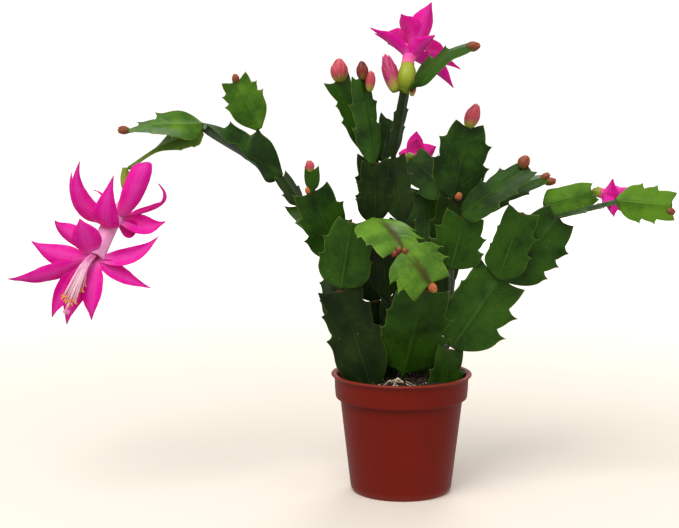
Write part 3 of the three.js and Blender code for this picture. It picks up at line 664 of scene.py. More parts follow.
def egg(growth, foot, point, radius, seed, scales=7, lift=0.25):
    """A bud from foot to point, with its heart sunk a little into what carries it."""
    chance = random.Random(seed)
    share = np.linspace(0, 1, 14)
    swell = np.interp(share, [0, 0.08, 0.25, 0.45, 0.65, 0.82, 0.94, 1],
                      [0.42, 0.68, 0.93, 1, 0.86, 0.56, 0.24, 0.04]) * radius
    ahead = unit(point - foot)
    side = unit(np.cross(ahead, [0.2, 0.9, 0.1]))
    up = np.cross(side, ahead)
    line = (foot - ahead * SUNK)[None] + np.outer(share, point + ahead * SUNK - foot)
    out = round_of(side, up, full_turn(16))
    growth.loft(line[:, None] + out[None] * swell[:, None, None] * 0.94, share)
    for k in range(scales):
        outer = k % 2
        turn = k * SCALE_TURN + chance.uniform(-0.2, 0.2)
        top = 0.72 + 0.26 * (1 - outer) * chance.uniform(0.8, 1.0)
        rings, over = scale_rings(line, side, up, swell * (0.97 + 0.05 * outer), turn, 0.95, top,
                                  radius * lift)
        growth.loft(rings, np.linspace(0, 0.95, SCALE_ROWS), over,
                    0.5 + chance.uniform(-0.15, 0.15))


def bud_ends(node):
    """Where a packed bud starts and ends, and its radius."""
    rings = rings_of(node)
    spans = [np.linalg.norm(ring - ring.mean(axis=0), axis=1).mean() for ring in rings]
    if spans[0] < spans[-1]:
        rings = rings[::-1]
    return rings[0].mean(axis=0), rings[-1].mean(axis=0), max(spans)


for number, (node, finish) in enumerate({
        "pink_bud_1": "pink", "red_bud": "red", "pink_bud_2": "pink", "tip_bud": "brown",
        "brown_bud": "brown", "orange_bud": "orange"}.items()):
    growth = Growth()
    foot, point, radius = bud_ends(node)
    egg(growth, foot, point, radius, seed=number, lift=0.12)
    growth.piece(node + "_scales", BUD_SKINS[finish], "bud", node)
    print(node, "is", round(float(np.linalg.norm(point - foot)), 1), "mm long")

# %% [markdown]
# The smallest buds have only just formed, at the tips of a few segments. They are too small to
# have solids of their own, so each is placed from the tip of the segment that carries it.

# %% The smallest buds
# the segment, how far from its tip in mm, lean in degrees, length and width in mm
TINY = {
    "pink": [("small_leaf", (-0.8, 0, 0.3), -4, 4.0, 3.4),
             ("upright_leaf_2", (4.2, -1, -4), 6, 8, 3.6),
             ("centre_stem_2", (3.2, -1.2, -0.6), 12, 4.5, 2.2)],
    "brown": [("side_leaf_3", (0, 0, 0.2), 55, 3.6, 2.8),
              ("side_leaf_3", (1.6, -0.4, -1.4), 80, 4.2, 3.0),
              ("right_leaf_7", (-1.2, 0, -1.8), 110, 3.0, 2.8),
              ("bright_leaf", (0, 0, 0.1), 0, 3.4, 2.8),
              ("arch_leaf_5", (-0.3, 0, 0.4), -86, 4, 3.2)],
    "red": [("young_leaf_1", (-1.3, -1.4, 0.3), 200, 2.4, 2.2),
            ("young_leaf_1", (0.9, -1.4, -0.2), 150, 2.4, 2.2),
            ("young_leaf_1", (-2.8, -1.2, -1.2), 215, 2.4, 2.2)],
    "orange": [("dark_leaf", (-1.6, -0.4, 0), -20, 2.4, 2),
               ("back_stem_2", (2, -1, 0), 20, 3, 2.6)],
}
for colour, buds in TINY.items():
    growth = Growth()
    for number, (node, shift, lean, long, wide) in enumerate(buds):
        foot = tips[node][0] + np.array(shift)
        lean = math.radians(lean)
        ahead = np.array([math.sin(lean), -0.15, math.cos(lean)])
        egg(growth, foot, foot + unit(ahead) * long, wide / 2, seed=number, scales=5)
    growth.piece("small_" + colour + "_buds", BUD_SKINS[colour], "bud")
print("small buds:", sum(map(len, TINY.values())))

# %% [markdown]
# ## Petals
#
# The flower of this cactus is a tube with two whorls of petals, one at the mouth and one further
# back, which bends its petals away. A petal is a thin boat: narrow where it leaves the tube,
# widest at the middle, and drawn out to a point. It is modelled as a closed sheet, 0.4 mm thick
# along the middle and thinner at its edges, on a curve that leaves the tube and turns outwards.

# %% The finish of a petal
def petal_skin(name, heart, body, edge):
    silk = Finish(name, IOR=1.38, Specular_IOR_Level=0.2, Subsurface_Weight=0.2,
                  Subsurface_Scale=0.0015)
    along, across = silk.attribute("along"), abs(silk.attribute("across"))
    tone = silk.attribute("tone")
    cloud = silk.cloud(3.5, 3.0)
    colour = silk.mix(silk.step(along + cloud * 0.15 + tone * 0.15, 0.08, 0.45), heart, body)
    stripe = silk.node("ShaderNodeMath", {"operation": "SINE"}, {0: across * 34.0 + cloud * 2.0})
    vein = silk.step(stripe, 0.3, 1.0) * silk.step(across, 1.0, 0.7)
    colour = silk.mix(vein * 0.16, colour, edge)
    # painted highlight: a lighter pink sheen along the middle of the petal
    colour = silk.mix(silk.step(across + cloud * 0.3, 0.8, 0.2) * 0.32, colour, srgb(255, 92, 204))
    middle = silk.step(across, 0.06, 0.0) * silk.step(along, 0.1, 0.5)
    colour = silk.mix(middle * 0.3, colour, edge)
    colour = silk.mix(silk.step(across, 0.93, 1.0) * 0.5, colour, edge)
    colour = silk.mix(silk.step(along, 0.93, 1.0) * 0.5, colour, edge)
    # painted highlight: soft light pink patches
    colour = silk.mix(silk.step(cloud, 0.35, 0.75) * 0.1, colour, srgb(252, 130, 215))
    height = vein + silk.cloud(0.5, 2.0) * 0.5
    return silk.shade(Base_Color=colour, Roughness=cloud * 0.2 + 0.38,
                      Normal=silk.bump(height, 0.1, 0.6))


PETAL_SKIN = petal_skin("magenta_petal", srgb(246, 120, 196), srgb(236, 6, 160),
                        srgb(176, 2, 104))
TUBE_SKIN = petal_skin("pale_flower_tube", srgb(255, 232, 240), srgb(255, 214, 232),
                       srgb(240, 130, 190))
ROSY_SKIN = petal_skin("rosy_flower_tube", srgb(232, 150, 110), srgb(240, 90, 150),
                       srgb(226, 60, 150))
OVARY_SKIN = bud_skin("green_ovary_skin", srgb(122, 142, 26), srgb(158, 172, 36),
                      srgb(206, 150, 90))


# %% One petal
FOLD = np.array([-1, -0.9, -0.66, -0.34, 0, 0.34, 0.66, 0.9, 1])
OUTLINE = np.array([[0.34, 0.52, 0.76, 0.94, 1.0, 0.97, 0.84, 0.58, 0.26, 0.02]]).T
PETAL_ROWS = 28


def petal(growth, centre, path, wide, fold, level, radius, tone, seed):
    """A petal that leaves a tube at `centre` and bends along `path`: a point it turns at, one it
    hooks round and its tip, all counted from `centre`. `level` is roughly the way its width
    lies, and `fold` how deep a boat it is."""
    turn, hook, end = (centre + np.array(p, dtype=float) for p in path)
    start = centre + unit(turn - centre) * radius * 0.5
    s = np.linspace(0, 1, PETAL_ROWS)
    q = s[:, None]
    line = ((1 - q) ** 3 * start + 3 * (1 - q) ** 2 * q * turn + 3 * (1 - q) * q ** 2 * hook
            + q ** 3 * end)
    ahead = unit(np.gradient(line, axis=0))
    level = np.array(level, dtype=float)
    level = unit(level - ahead * (ahead @ level)[:, None])
    inside = np.cross(ahead, level)
    half = wide / 2 * through(OUTLINE, s * (len(OUTLINE) - 1))[:, 0]
    flat = line[:, None] + level[:, None] * (half[:, None] * FOLD[None])[..., None]
    ripple = wobble(flat, 4.5, seed) * 0.5 * np.abs(FOLD) ** 1.5
    lift = half[:, None] * fold * FOLD[None] ** 2 * 2 + ripple
    thick = 0.07 + 0.13 * np.sqrt(1 - FOLD ** 2)
    upper = flat + inside[:, None] * (lift + thick)[..., None]
    lower = flat + inside[:, None] * (lift - thick)[..., None]
    rings = np.concatenate([upper, lower[:, ::-1]], axis=1)
    growth.loft(rings, s, np.tile(np.concatenate([FOLD, FOLD[::-1]]), PETAL_ROWS), tone)


def spread(axis, reach, spring, curl):
    """The path of an ordinary petal: it follows the tube, turns outwards and runs to its tip."""
    reach = np.array(reach, dtype=float)
    outward = unit(reach - axis * (reach @ axis))
    turn = (axis + outward * 0.6) * spring
    return (turn, turn + (reach - turn) * 0.5 + (axis + outward) * 0.5 * curl, reach)


# %% [markdown]
# ## The open flower
#
# It hangs from the end of the arch. The back whorl bends right back over the tube, and the whorl
# at the mouth spreads like a star. A long bunch of pale filaments with pollen at their ends hangs
# out of the throat, with the thicker style among them.

# %% Where a flower sits, and its whorls
def seat(parent, shift=(0, 0, 0)):
    """Where a flower starts, just past the tip of the segment that carries it."""
    tip, grows = tips[parent]
    turn = math.acos(max(-1.0, min(1.0, grows[2])))
    return tip + grows * (0.3 + 1.35 * math.sin(min(turn, math.pi / 2))) + np.array(shift)


FLOWER_ROWS = 40
FLOWER_SIDES = 24
TUBE_WALL = 0.5


def flower(name, base, path, radii, whorls, ovary, tube_skin=ROSY_SKIN):
    """The green ovary, the pale tube and the petals of one flower, as three pieces. A whorl is
    the point of the path that it sits on, the way it looks, and its petals. A petal is a path,
    a width, a fold and the way its width lies, or, for an ordinary one, what `spread` needs in
    place of the path, a width and a fold. `ovary` is the ovary's share of the length."""
    path = np.array(path, dtype=float) + base
    green, pale, petals = Growth(), Growth(), Growth()
    share = np.linspace(0, 1, FLOWER_ROWS)
    line = through(path, share * (len(path) - 1))
    radius = np.interp(share, np.linspace(0, 1, len(radii)), radii)
    cut = int(ovary * FLOWER_ROWS)
    ahead, side, up = frame_along(line, ASKEW)
    turn = full_turn(FLOWER_SIDES)
    out = round_of(side, up, turn)
    belly = np.sin(np.linspace(0.4, 2.7, cut)) ** 0.7
    girth = np.maximum(radius[:cut].max() * 1.08 * belly, 0.9)[:, None]
    girth = girth * (1 + 0.04 * np.cos(5 * turn)[None])
    first = line[:cut, None] + out[:cut] * girth[..., None]
    first[0] -= ahead[0] * 1.0
    green.loft(first, np.linspace(0, 0.9, cut))
    wall = radius[cut - 3:, None] * (1 + 0.05 * np.cos(6 * turn)[None])
    outer = line[cut - 3:, None] + out[cut - 3:] * wall[..., None]
    hollow = np.maximum(wall - TUBE_WALL, 0.3)
    inner = line[cut - 3:, None] + out[cut - 3:] * hollow[..., None]
    depth = max(3, int(len(outer) * 0.5))
    rings = np.concatenate([outer, inner[:-depth - 1:-1]])
    out_and_in = [np.linspace(0, 0.8, len(outer)), np.linspace(0.8, 0.3, depth)]
    pale.loft(rings, np.concatenate(out_and_in))
    for number, (at, looks, rows) in enumerate(whorls):
        axis = unit(np.array(looks, dtype=float))
        for k, (way, wide, fold, *level) in enumerate(rows):
            if not level:
                way = spread(axis, *way)
                level = [np.cross(axis, way[2])]
            petal(petals, path[at], way, wide, fold, level[0], radii[2 * at],
                  tone=(k * 0.37 + number * 0.2) % 1, seed=k + 10 * number)
    green.piece(name + "_ovary", OVARY_SKIN, "petal", name)
    pale.piece(name + "_tube", tube_skin, "petal", name)
    made = petals.piece(name + "_petals", PETAL_SKIN, "petal", name)
    print(name, "has", sum(len(rows) for _, _, rows in whorls), "petals and",
          len(made.data.polygons), "faces")
    return line[-1], ahead[-1]


# %% The open flower's petals
arch_mouth, arch_way = flower(
    "arch_flower", seat("arch_leaf_6"),
    [(0, 0, 0), (0, -1, -12), (-4.5, -5, -20), (-11, -17, -35)],
    [1.4, 2.1, 1.9, 2.9, 3.6, 3.9, 4.2],
    [(2, (-0.3, -0.9, -0.4), [
        (((-7, -3, -1), (-18, -8, 8), (-12.2, -8, 24.5)), 8.5, 0.25, (1, 0, 1)),
        (((-8, 1, 0), (-20, 4, 6), (-18, 5, 19)), 6, 0.25, (1, 0, 1)),
        (((-2, 2, 6), (-3, 3, 11), (-8.5, 3, 11.5)), 3, 0.2, (0.2, 1, 0)),
        (((-3, -9, -7), (-3, -17, 2), (2.4, -14, 19)), 11.5, 0.12, (1, 0, -0.33)),
        (((8, -5, 2), (16, -8, 34), (14, 6, 20)), 9.5, 0.15, (1, 0.2, 0)),
        (((14, 3, 2), (28, 6, 5), (18.2, 6, 14.2)), 7, 0.2, (0.1, 1, 0.2)),
        (((8, 0, -2), (15, 4, -6), (21.5, 2, -1.3)), 8.5, 0.25, (0, 0.4, 1)),
        (((6, 1, -3), (9, 3, -7), (9.5, 1, -5)), 8, 0.25, (0.6, 0, 1)),
    ]), (3, (-0.3, -0.85, -0.4), [
        (((-1, -4, 4), (-3, -9, 12), (-4.2, -8, 17)), 11.8, 0.12, (1, 0, 0.2)),
        (((-4, 5, 8), (-15, 7, 10), (-17, 6, 15)), 8, 0.2, (0.5, 0, 1)),
        (((-7, -3, 0), (-17, -3, 1), (-25.6, -1, 7.2)), 9.5, 0.15, (0, 0.3, 1)),
        (((-8, -4, -3), (-20, -12, -8), (-33.5, -11, -7.2)), 8.2, 0.15, (0, -0.4, 1)),
        (((-5, -4, -5), (-14, -6, -14), (-17, -5, -24)), 9, 0.15, (1, 0, -0.5)),
        (((-3, -6, -5), (-9, -11, -15), (-10.2, -9, -26.2)), 9.5, 0.12, (1, 0.2, -0.4)),
        (((1, -6, -6), (0, -11, -15), (0, -9, -24.3)), 9.5, 0.12, (1, -0.2, 0)),
        (((5, -2, -3), (11, 2, -9), (22.8, 4, -13.2)), 7, 0.2, (0, 0.3, 1)),
        (((8, -1, -1), (18, 3, -1), (26, 6, 8.4)), 7, 0.2, (0, 0.3, 1)),
    ])], ovary=0.28, tube_skin=TUBE_SKIN)

# %% The stamens and the style
def mottled(name, rough, size, dark, light, grain, detail, depth):
    """A finish of two colours in soft patches, over a fine grain."""
    finish = Finish(name, Roughness=rough)
    return finish.shade(Base_Color=finish.mix(finish.cloud(size, 3.0), dark, light),
                        Normal=finish.bump(finish.cloud(grain, detail), depth))


POLLEN = mottled("pollen", 0.9, 0.5, srgb(232, 128, 66), srgb(248, 184, 116), 0.25, 2.0, 0.15)
thread = Finish("filament", Subsurface_Weight=0.2, Subsurface_Scale=0.001)
fade = thread.step(thread.attribute("along") + thread.cloud(2.0) * 0.2, 0.2, 0.9)
thread.shade(Base_Color=thread.mix(fade, srgb(240, 110, 190), srgb(250, 200, 214)),
             Roughness=thread.cloud(1.0) * 0.2 + 0.4)
STAMENS = 46
GOLDEN_TURN = 2.399    # radians: it spaces points evenly over a disc
filaments, anthers, chance = Growth(), Growth(), random.Random(5)
for k in range(STAMENS):
    turn, off = k * GOLDEN_TURN, math.sqrt((k + 0.5) / STAMENS)
    lean = np.array([math.cos(turn), 0.35 * math.sin(turn), 0.6 * math.sin(turn)]) * off
    reach = chance.uniform(0.48, 1.0)
    end = arch_mouth + np.array([-8.5, -17, -16]) * reach + lean * 3.4
    tube(filaments, [arch_mouth - arch_way * 4 + lean * 1.4,
                     arch_mouth + np.array([-2.8, -8.5, -2.5]) + lean * 1.8, end],
         [0.24, 0.2, 0.16], rows=9, sides=5, tone=chance.random())
    tube(anthers, [end - np.array([0, 0, 0.1]), end + unit(np.array([-0.2, -0.5, -1])) * 0.7,
                   end + unit(lean + np.array([-0.3, -0.2, -1])) * 1.5],
         [0.15, 0.46, 0.5, 0.42, 0.12], rows=8, sides=7, tone=chance.random())
end = arch_mouth + np.array([-8.8, -17.4, -18.6])
tube(filaments, [arch_mouth - arch_way * 5, arch_mouth + np.array([-2.6, -9, -3.5]), end],
     [0.55, 0.5, 0.5], rows=16, sides=9)
for k in range(6):
    lobe = np.array([math.cos(k * 1.05), 0.6 * math.sin(k * 1.05), -1.0])
    tube(filaments, [end - lobe * 0.3, end + lobe * 1.1, end + lobe * np.array([0.5, 0.5, 2.0])],
         [0.3, 0.42, 0.12], rows=6, sides=7, tone=0.9)
filaments.piece("arch_flower_filaments", thread.material, "stamen", "arch_flower_stamens")
anthers.piece("arch_flower_anthers", POLLEN, "stamen", "arch_flower_stamens")
print("the bunch reaches", [round(float(v), 1) for v in end])

# %% [markdown]
# ## The other flowers
#
# One opens at the top of the plant, one is half hidden behind the middle, and one is just opening
# at the right. They are made by the same function.

# %% The other flowers' petals
flower("top_flower", seat("centre_stem_2", (0, 0.5, 0)),
       [(0, 0, 0), (1, 0, 6), (1.5, 3, 12), (3.5, 8, 17)], [1.5, 3, 3.6, 3.2, 2.6, 3, 3.6],
       [(2, (0.2, 0.5, 0.8), [
           (((-16, -2, 14), 4, 2), 7, 0.3), (((-14, 5, 12), 4, 2), 7, 0.3),
           (((11, -6, 11), 4, 0), 8, 0.3), (((23, 12, -3), 5, 3), 7, 0.3),
           (((20, 10, -11), 5, 3), 10, 0.3), (((-8, 20, 8), 5, 2), 8, 0.3)]),
        (3, (0.2, 0.6, 0.7), [
            (((-5, -4, 15), 6, 0), 10, 0.35), (((8, -1, 20), 6, 0), 10, 0.35),
            (((16, 14, -3), 5, 2), 9, 0.3), (((3, 18, 12), 5, 2), 9, 0.3),
            (((-10, 16, 8), 5, 2), 8, 0.3)])],
       ovary=0.66)
flower("back_flower", seat("back_leaf_2"),
       [(0, 0, 0), (0.5, 4, -0.5), (2.5, 9, -1), (3.8, 14, -1)],
       [1.4, 2, 2.3, 2.2, 2.4, 2.7, 3],
       [(2, (-0.1, 1, 0), [
           (((1, -3, 9), 3, 2), 7, 0.3), (((7, -2, 3), 3, 2), 7, 0.3),
           (((-4, -5, -5), 3, 1), 6, 0.3), (((-4, -4, -12), 3, 2), 7, 0.3)]),
        (3, (-0.1, 1, 0), [
            (((0, 3, 12), 4, 2), 8, 0.3), (((9, 4, 5), 4, 2), 8, 0.3),
            (((7, 4, -6), 4, 2), 7, 0.3), (((-7, 2, -12), 4, 2), 8, 0.3),
            (((-8, 4, 2), 4, 2), 7, 0.3)])],
       ovary=0.3)
flower("side_flower", seat("right_leaf_5"),
       [(0, 0, 0), (1.5, 0.5, -0.5), (3, 1, -1), (5, 1.5, -1.5)],
       [1.3, 1.8, 2.2, 2.2, 2.2, 2, 1.6],
       [(1, (0.9, 0.3, -0.3), [
           (((12, -2, 2), 4, 0), 9, 0.4), (((11, -4, -3), 4, 0), 10, 0.4),
           (((6, -4, -10), 4, 0), 9, 0.4), (((12, 0, -9), 4, 0), 10, 0.4),
           (((5, -4, 6), 3, 0), 9, 0.4), (((13, 4, 0), 4, 0), 9, 0.4),
           (((1, -4, -6), 3, 0), 8, 0.4)])],
       ovary=0.35)

# %% The bud that is about to open
growth = Growth()
foot, point, radius = bud_ends("magenta_bud")
egg(growth, foot, point, radius * 0.88, seed=21, scales=6, lift=0.2)
growth.piece("magenta_bud_scales", BUD_SKINS["magenta"], "bud", "magenta_bud")

# %% [markdown]
# ## The pot
#
# The pot is thin moulded plastic: a tapering body with a rounded foot, a plain collar with a small
# step under it, and a thin lip. It is round, so it is turned from a profile, and the profile
# carries the small radii that catch the light. The drain holes are cut with a boolean.

# %% Turn the pot
POT_SIDES = 168
EASE = 0.5       # mm from a corner to where its rounding starts
EASE_STEPS = 4


def eased(corners):
    """The same profile with its corners rounded."""
    corners = [np.array(c, dtype=float) for c in corners]
    line = [corners[0]]
    for before, here, after in zip(corners, corners[1:], corners[2:]):
        near = min(EASE, np.linalg.norm(before - here) / 2.2, np.linalg.norm(after - here) / 2.2)
        a, b = here + unit(before - here) * near, here + unit(after - here) * near
        for q in np.linspace(0, 1, EASE_STEPS + 1):
            line.append((1 - q) ** 2 * a + 2 * q * (1 - q) * here + q ** 2 * b)
    return line + [corners[-1]]


profile = eased([
    (0.5, 0.7), (19.2, 0.7), (19.9, 0.0), (20.6, 0.0), (21.6, 1.8), (24.2, 24.0), (25.95, 39.0),
    (26.15, 40.3), (27.85, 40.45), (28.1, 41.4), (28.22, 43.6), (28.3, 43.75), (28.5, 48.7),
    (28.7, 49.7), (29.6, 49.95), (29.95, 50.35), (29.75, 50.85), (29.0, 51.0), (27.9, 50.8),
    (27.4, 50.2), (27.05, 42.2), (25.1, 40.6), (20.7, 1.9), (0.5, 1.8)])
growth = Growth()
growth.loft(lathe(profile, POT_SIDES))
plastic = Finish("red_brown_plastic", IOR=1.46, Specular_IOR_Level=0.2)
soft = plastic.cloud(26.0, 2.0)
fine = plastic.cloud(0.35, 2.0)
smear = plastic.node("ShaderNodeVectorMath", {"operation": "MULTIPLY"},
                     {0: plastic.place(), 1: (1.0, 1.0, 0.22)})
scuff = plastic.step(plastic.cloud(1.6, 4.0, 0.65, at=smear), 0.62, 0.74)
high = plastic.node("ShaderNodeSeparateXYZ", None, {0: plastic.place()}, output=2)
rim = plastic.step(high, 0.0485, 0.0505)
foot_wear = plastic.step(high, 0.0035, 0.0008)
speck = plastic.step(plastic.dots(5.5), 0.055, 0.03)
clay = plastic.mix(soft, srgb(114, 21, 6), srgb(130, 29, 10))
clay = plastic.mix(scuff * 0.12, clay, srgb(180, 92, 66))
clay = plastic.mix((rim + foot_wear) * 0.3, clay, srgb(160, 72, 54))
clay = plastic.mix(speck * 0.5, clay, srgb(52, 26, 18))
plastic.shade(Base_Color=clay, Roughness=fine * 0.12 + scuff * 0.16 + 0.34,
              Normal=plastic.bump(fine * 0.6 + soft * 0.4 + scuff * 0.3, 0.06, 0.5))
pot = growth.piece("nursery_pot", plastic.material, "pot", "pot")

# %% Drill its drain holes
DRAINS = 5
DRAIN_CIRCLE = 13
DRAIN_RADIUS = 2.4
drills = Growth()
for k in range(DRAINS):
    turn = 2 * math.pi * (k + 0.5) / DRAINS
    x, y = DRAIN_CIRCLE * math.cos(turn), DRAIN_CIRCLE * math.sin(turn)
    tube(drills, [(x, y, -1), (x, y, 1), (x, y, 4)], [DRAIN_RADIUS] * 3, rows=4, sides=28)
cutter = drills.piece("drills", plastic.material, "pot")
cut = pot.modifiers.new("drains", "BOOLEAN")
cut.operation = "DIFFERENCE"
cut.object = cutter
cut.solver = "EXACT"
drained = bpy.data.meshes.new_from_object(pot.evaluated_get(bpy.context.evaluated_depsgraph_get()))
pot.modifiers.clear()
pot.data = drained
bpy.data.objects.remove(cutter)
drained.set_sharp_from_angle(angle=math.radians(50))
print("the pot has", len(drained.polygons), "faces")

# %% [markdown]
# ## The soil
#
# Potting soil is peat with pale grit in it. From close by it is crumbs, not a surface, so a lumpy
# mound makes the body of it, and 900 broken crumbs, some grit and a few fibres lie on top. They
# are scattered with a fixed seed, so the soil is the same each time.

# %% The mound
SOIL_EDGE = 46       # height of the soil at the pot's wall
SOIL_RISE = 1.4      # how much higher its middle is
SOIL_RADIUS = 27
SOIL_SIDES = 120


def soil_height(x, y):
    far = x * x + y * y
    lump = math.sin(0.55 * x + 1) * math.cos(0.5 * y) + 0.6 * math.sin(1.1 * y + 0.4 * x)
    return SOIL_EDGE + SOIL_RISE * max(0.0, 1 - far / SOIL_RADIUS ** 2) + 0.35 * lump


soil_growth = Growth()
buried = [(0.5, 2.2), (20.2, 2.2), (24.6, 40.6), (26.6, 42.3), (26.75, 45.0)]
surface = lathe([(r, 0.0) for r in np.linspace(26.7, 0.4, 54)], SOIL_SIDES)
for ring in surface:
    rough = wobble(ring, 2.2) * 0.45 + wobble(ring, 0.9, 5.0) * 0.28
    ring[:, 2] = [soil_height(x, y) + extra for (x, y, _), extra in zip(ring, rough)]
soil_growth.loft(np.concatenate([lathe(buried, SOIL_SIDES), surface]))


def peat(name, dark, light, size):
    earth = Finish(name, Roughness=0.95)
    lumps, grit = earth.cloud(size, 4.0, 0.7), earth.dots(size * 0.8)
    colour = earth.ramp(lumps, (0.3, dark), (0.52, light), (0.72, dark))
    colour = earth.mix(earth.step(grit, 0.2, 0.05) * 0.35, colour, srgb(92, 66, 44))
    return earth.shade(Base_Color=colour, Normal=earth.bump(lumps + grit * 0.6, 0.5))


soil_growth.piece("peat_bed", peat("dark_peat", srgb(18, 12, 9), srgb(44, 30, 21), 1.5), "soil",
                  "soil")


# %% Crumbs, grit and fibres
def scattered(reach, chance):
    """A random place on the soil, as likely in one spot as in another."""
    far, turn = reach * math.sqrt(chance.random()), chance.uniform(0, 2 * math.pi)
    return far * math.cos(turn), far * math.sin(turn)


def crumbs(growth, count, small, large, seed, sink=0.3):
    """Small broken lumps lying on the soil."""
    chance = random.Random(seed)
    lump = bmesh.new()
    bmesh.ops.create_icosphere(lump, subdivisions=1, radius=1.0)
    ball = np.array([v.co[:] for v in lump.verts])
    faces = [[v.index for v in f.verts] for f in lump.faces]
    lump.free()
    for _ in range(count):
        x, y = scattered(26.2, chance)
        size = small + (large - small) * chance.random() ** 2.2
        shape = ball * np.array([chance.uniform(0.7, 1.3), chance.uniform(0.7, 1.2), 0.8])
        shape = shape * (1 + 0.45 * wobble(ball * 1.0, 0.9, chance.uniform(0, 90)))[:, None]
        a = chance.uniform(0, math.pi)
        spin = np.array([[math.cos(a), -math.sin(a), 0], [math.sin(a), math.cos(a), 0], [0, 0, 1]])
        shape = shape @ spin.T * size + np.array([x, y, soil_height(x, y) + size * sink])
        growth.add(shape, faces, tone=chance.random())


dark_crumbs, pale_crumbs, fibres = Growth(), Growth(), Growth()
crumbs(dark_crumbs, 900, 0.3, 1.5, seed=1)
crumbs(pale_crumbs, 120, 0.22, 0.7, seed=2, sink=0.6)
chance = random.Random(8)
for _ in range(70):
    x, y = scattered(24, chance)
    way = chance.uniform(0, math.pi)
    long = chance.uniform(1.5, 4.5) / 2
    spots = [(x + t * long * math.cos(way), y + t * long * math.sin(way)) for t in (-1, 0, 1)]
    tube(fibres, [(a, b, soil_height(a, b) + h) for (a, b), h in zip(spots, (0.3, 0.9, 0.4))],
         [0.12, 0.2, 0.08], rows=6, sides=5, hint=(0, 0, 1))
LOOSE = peat("loose_peat", srgb(20, 13, 9), srgb(58, 38, 26), 0.9)
STONE = mottled("pale_grit", 0.8, 0.5, srgb(120, 104, 84), srgb(206, 196, 176), 0.3, 3.0, 0.2)
BARK = mottled("peat_fibre", 0.85, 0.8, srgb(66, 44, 28), srgb(116, 86, 56), 0.3, 2.0, 0.2)
dark_crumbs.piece("peat_crumbs", LOOSE, "soil")
pale_crumbs.piece("grit", STONE, "soil")
fibres.piece("peat_fibres", BARK, "soil")
print("the soil has", len(dark_crumbs.points), "crumbs,", len(pale_crumbs.points), "of grit and",
      len(fibres.points), "fibres")

# %% [markdown]
# ## The surface roots
#
# A few fine roots run over the soil at the front. Each is a thin, tapering, wandering tube that
# follows the soil, with a few side rootlets.

# %% The roots
roots, chance = Growth(), random.Random(4)


SWAY = 0.8         # mm that a root wanders to each side
ROOT_LIFT = 0.5    # mm from the soil up to its middle


def root(start, end, thick, thin):
    """One root over the soil between two places on it."""
    start, end = np.array(start, dtype=float), np.array(end, dtype=float)
    across = unit(np.array([start[1] - end[1], end[0] - start[0]]))
    spots = []
    for t in np.linspace(0, 1, 9):
        bend = across * SWAY * chance.uniform(-1, 1) * math.sin(3.1 * t)
        x, y = start + (end - start) * t + bend
        rise = ROOT_LIFT + 1.0 * (1 - t) ** 2 + chance.uniform(-0.12, 0.2)
        spots.append((x, y, soil_height(x, y) + rise))
    tube(roots, spots, [thick, (thick + thin) / 2, thin], rows=36, sides=8, hint=(0, 0, 1),
         tone=chance.random(), bumps=lambda s, a: 1 + 0.18 * np.sin(s * 61 + a) * np.cos(s * 23))
    return spots


root((-1.5, -4), (-6.2, -17), 0.42, 0.16)
root((-1.5, -4), (4.2, -15), 0.4, 0.15)
long_root = root((-1.5, -4), (-12.2, -15), 0.4, 0.14)
root(long_root[4][:2], (-9.5, -18.5), 0.22, 0.09)
root((-3.8, -10), (-1.0, -17), 0.2, 0.09)
root((1.6, -10), (6.8, -12), 0.2, 0.08)
root((0, -6), (-5, -9), 0.24, 0.1)
fibre = Finish("pale_root", Roughness=0.75, Subsurface_Weight=0.1, Subsurface_Scale=0.001)
bark_noise = fibre.cloud(0.9, 3.0)
fibre.shade(Base_Color=fibre.ramp(bark_noise + fibre.attribute("along") * 0.15,
                                  (0.3, srgb(140, 112, 80)), (0.48, srgb(208, 190, 158)),
                                  (0.8, srgb(236, 226, 202))),
            Normal=fibre.bump(bark_noise, 0.2))
made = roots.piece("surface_root_strands", fibre.material, "root", "surface_roots")
print("the roots have", len(made.data.polygons), "faces")

# %% [markdown]
# ## The set
#
# A product shot of a plant uses a sweep: a pale floor that curves up into the background with no
# line where they meet. This one is turned like a plate, so that it looks the same from any side.
# A large soft light in front and above, a weak one from the right, one from behind and a bright
# sky give the even, nearly shadowless light of such a picture.

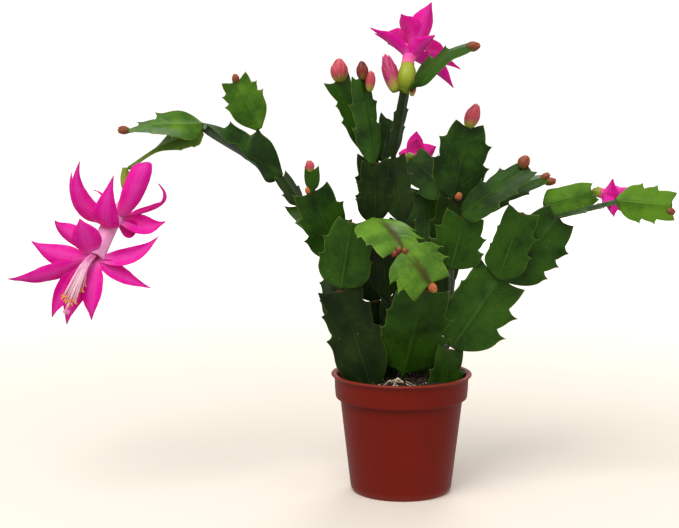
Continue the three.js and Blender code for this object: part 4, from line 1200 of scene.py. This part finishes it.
# %% Floor and background
FLOOR = 2.2          # metres from the middle to where the floor starts to curve up
BEND = 0.9           # metres: the radius of that curve
WALL_TOP = 4.0       # metres
SWEEP_SIDES = 96
bend = [(FLOOR + BEND * math.sin(a), BEND - BEND * math.cos(a))
        for a in np.linspace(0, math.pi / 2, 14)]
plate = [(0.02, 0.0), (0.4, 0.0), (1.2, 0.0)] + bend + [(FLOOR + BEND, WALL_TOP)]
faces = bands(len(plate), SWEEP_SIDES) + [list(range(SWEEP_SIDES))]
paper = Finish("cream_paper", Roughness=0.8, Emission_Strength=1.0)
far = paper.node("ShaderNodeVectorMath", {"operation": "LENGTH"}, {0: paper.place()}, output=1)
paper.shade(Base_Color=paper.mix(paper.cloud(300.0), srgb(240, 230, 216), srgb(244, 236, 224)),
            Emission_Color=paper.mix(paper.step(far, 0.1, 1.0), (0.0, 0.0, 0.0), (0.6, 0.62, 0.64)))
mesh = bpy.data.meshes.new("sweep")
mesh.from_pydata(lathe(plate, SWEEP_SIDES).reshape(-1, 3).tolist(), [], faces)
mesh.shade_smooth()
mesh.materials.append(paper.material)
backdrop = new_object("sweep", mesh)
backdrop.visible_diffuse = False
backdrop.visible_glossy = False


# %% Lights
LIT = Vector((0, 0, 0.09))    # the middle of the plant, which every light looks at


def soft_light(name, at, size, power):
    lamp = bpy.data.lights.new(name, "AREA")
    lamp.shape = "DISK"
    lamp.size = size
    lamp.energy = power
    holder = new_object(name, lamp)
    holder.location = at
    holder.rotation_euler = (LIT - Vector(at)).to_track_quat("-Z", "Y").to_euler()


soft_light("key", (-0.4, -0.8, 1.3), 1.1, 17)
soft_light("fill", (1.2, -0.8, 0.7), 1.0, 3)
soft_light("back", (0.3, 1.2, 1.2), 0.9, 8)
sky = bpy.data.worlds.new("studio")
sky.use_nodes = True
light = sky.node_tree.nodes["Background"]
light.inputs["Color"].default_value = (1, 0.985, 0.96, 1)
light.inputs["Strength"].default_value = 0.48
bpy.context.scene.world = sky
bpy.context.scene.view_settings.view_transform = "Standard"

# %% [markdown]
# ## The camera
#
# The view is from the front, from a little below the plant's top and looking slightly down, with
# a fairly long lens, so that there is little perspective.

# %% Camera
LOOKS_DOWN = 7.35    # degrees below level
view = bpy.data.cameras.new("camera")
view.lens = 81
view.sensor_width = 36
holder = new_object("camera", view)
holder.location = (-0.0264, -0.640, 0.180)
holder.rotation_euler = (math.radians(90 - LOOKS_DOWN), 0, 0)
bpy.context.scene.camera = holder
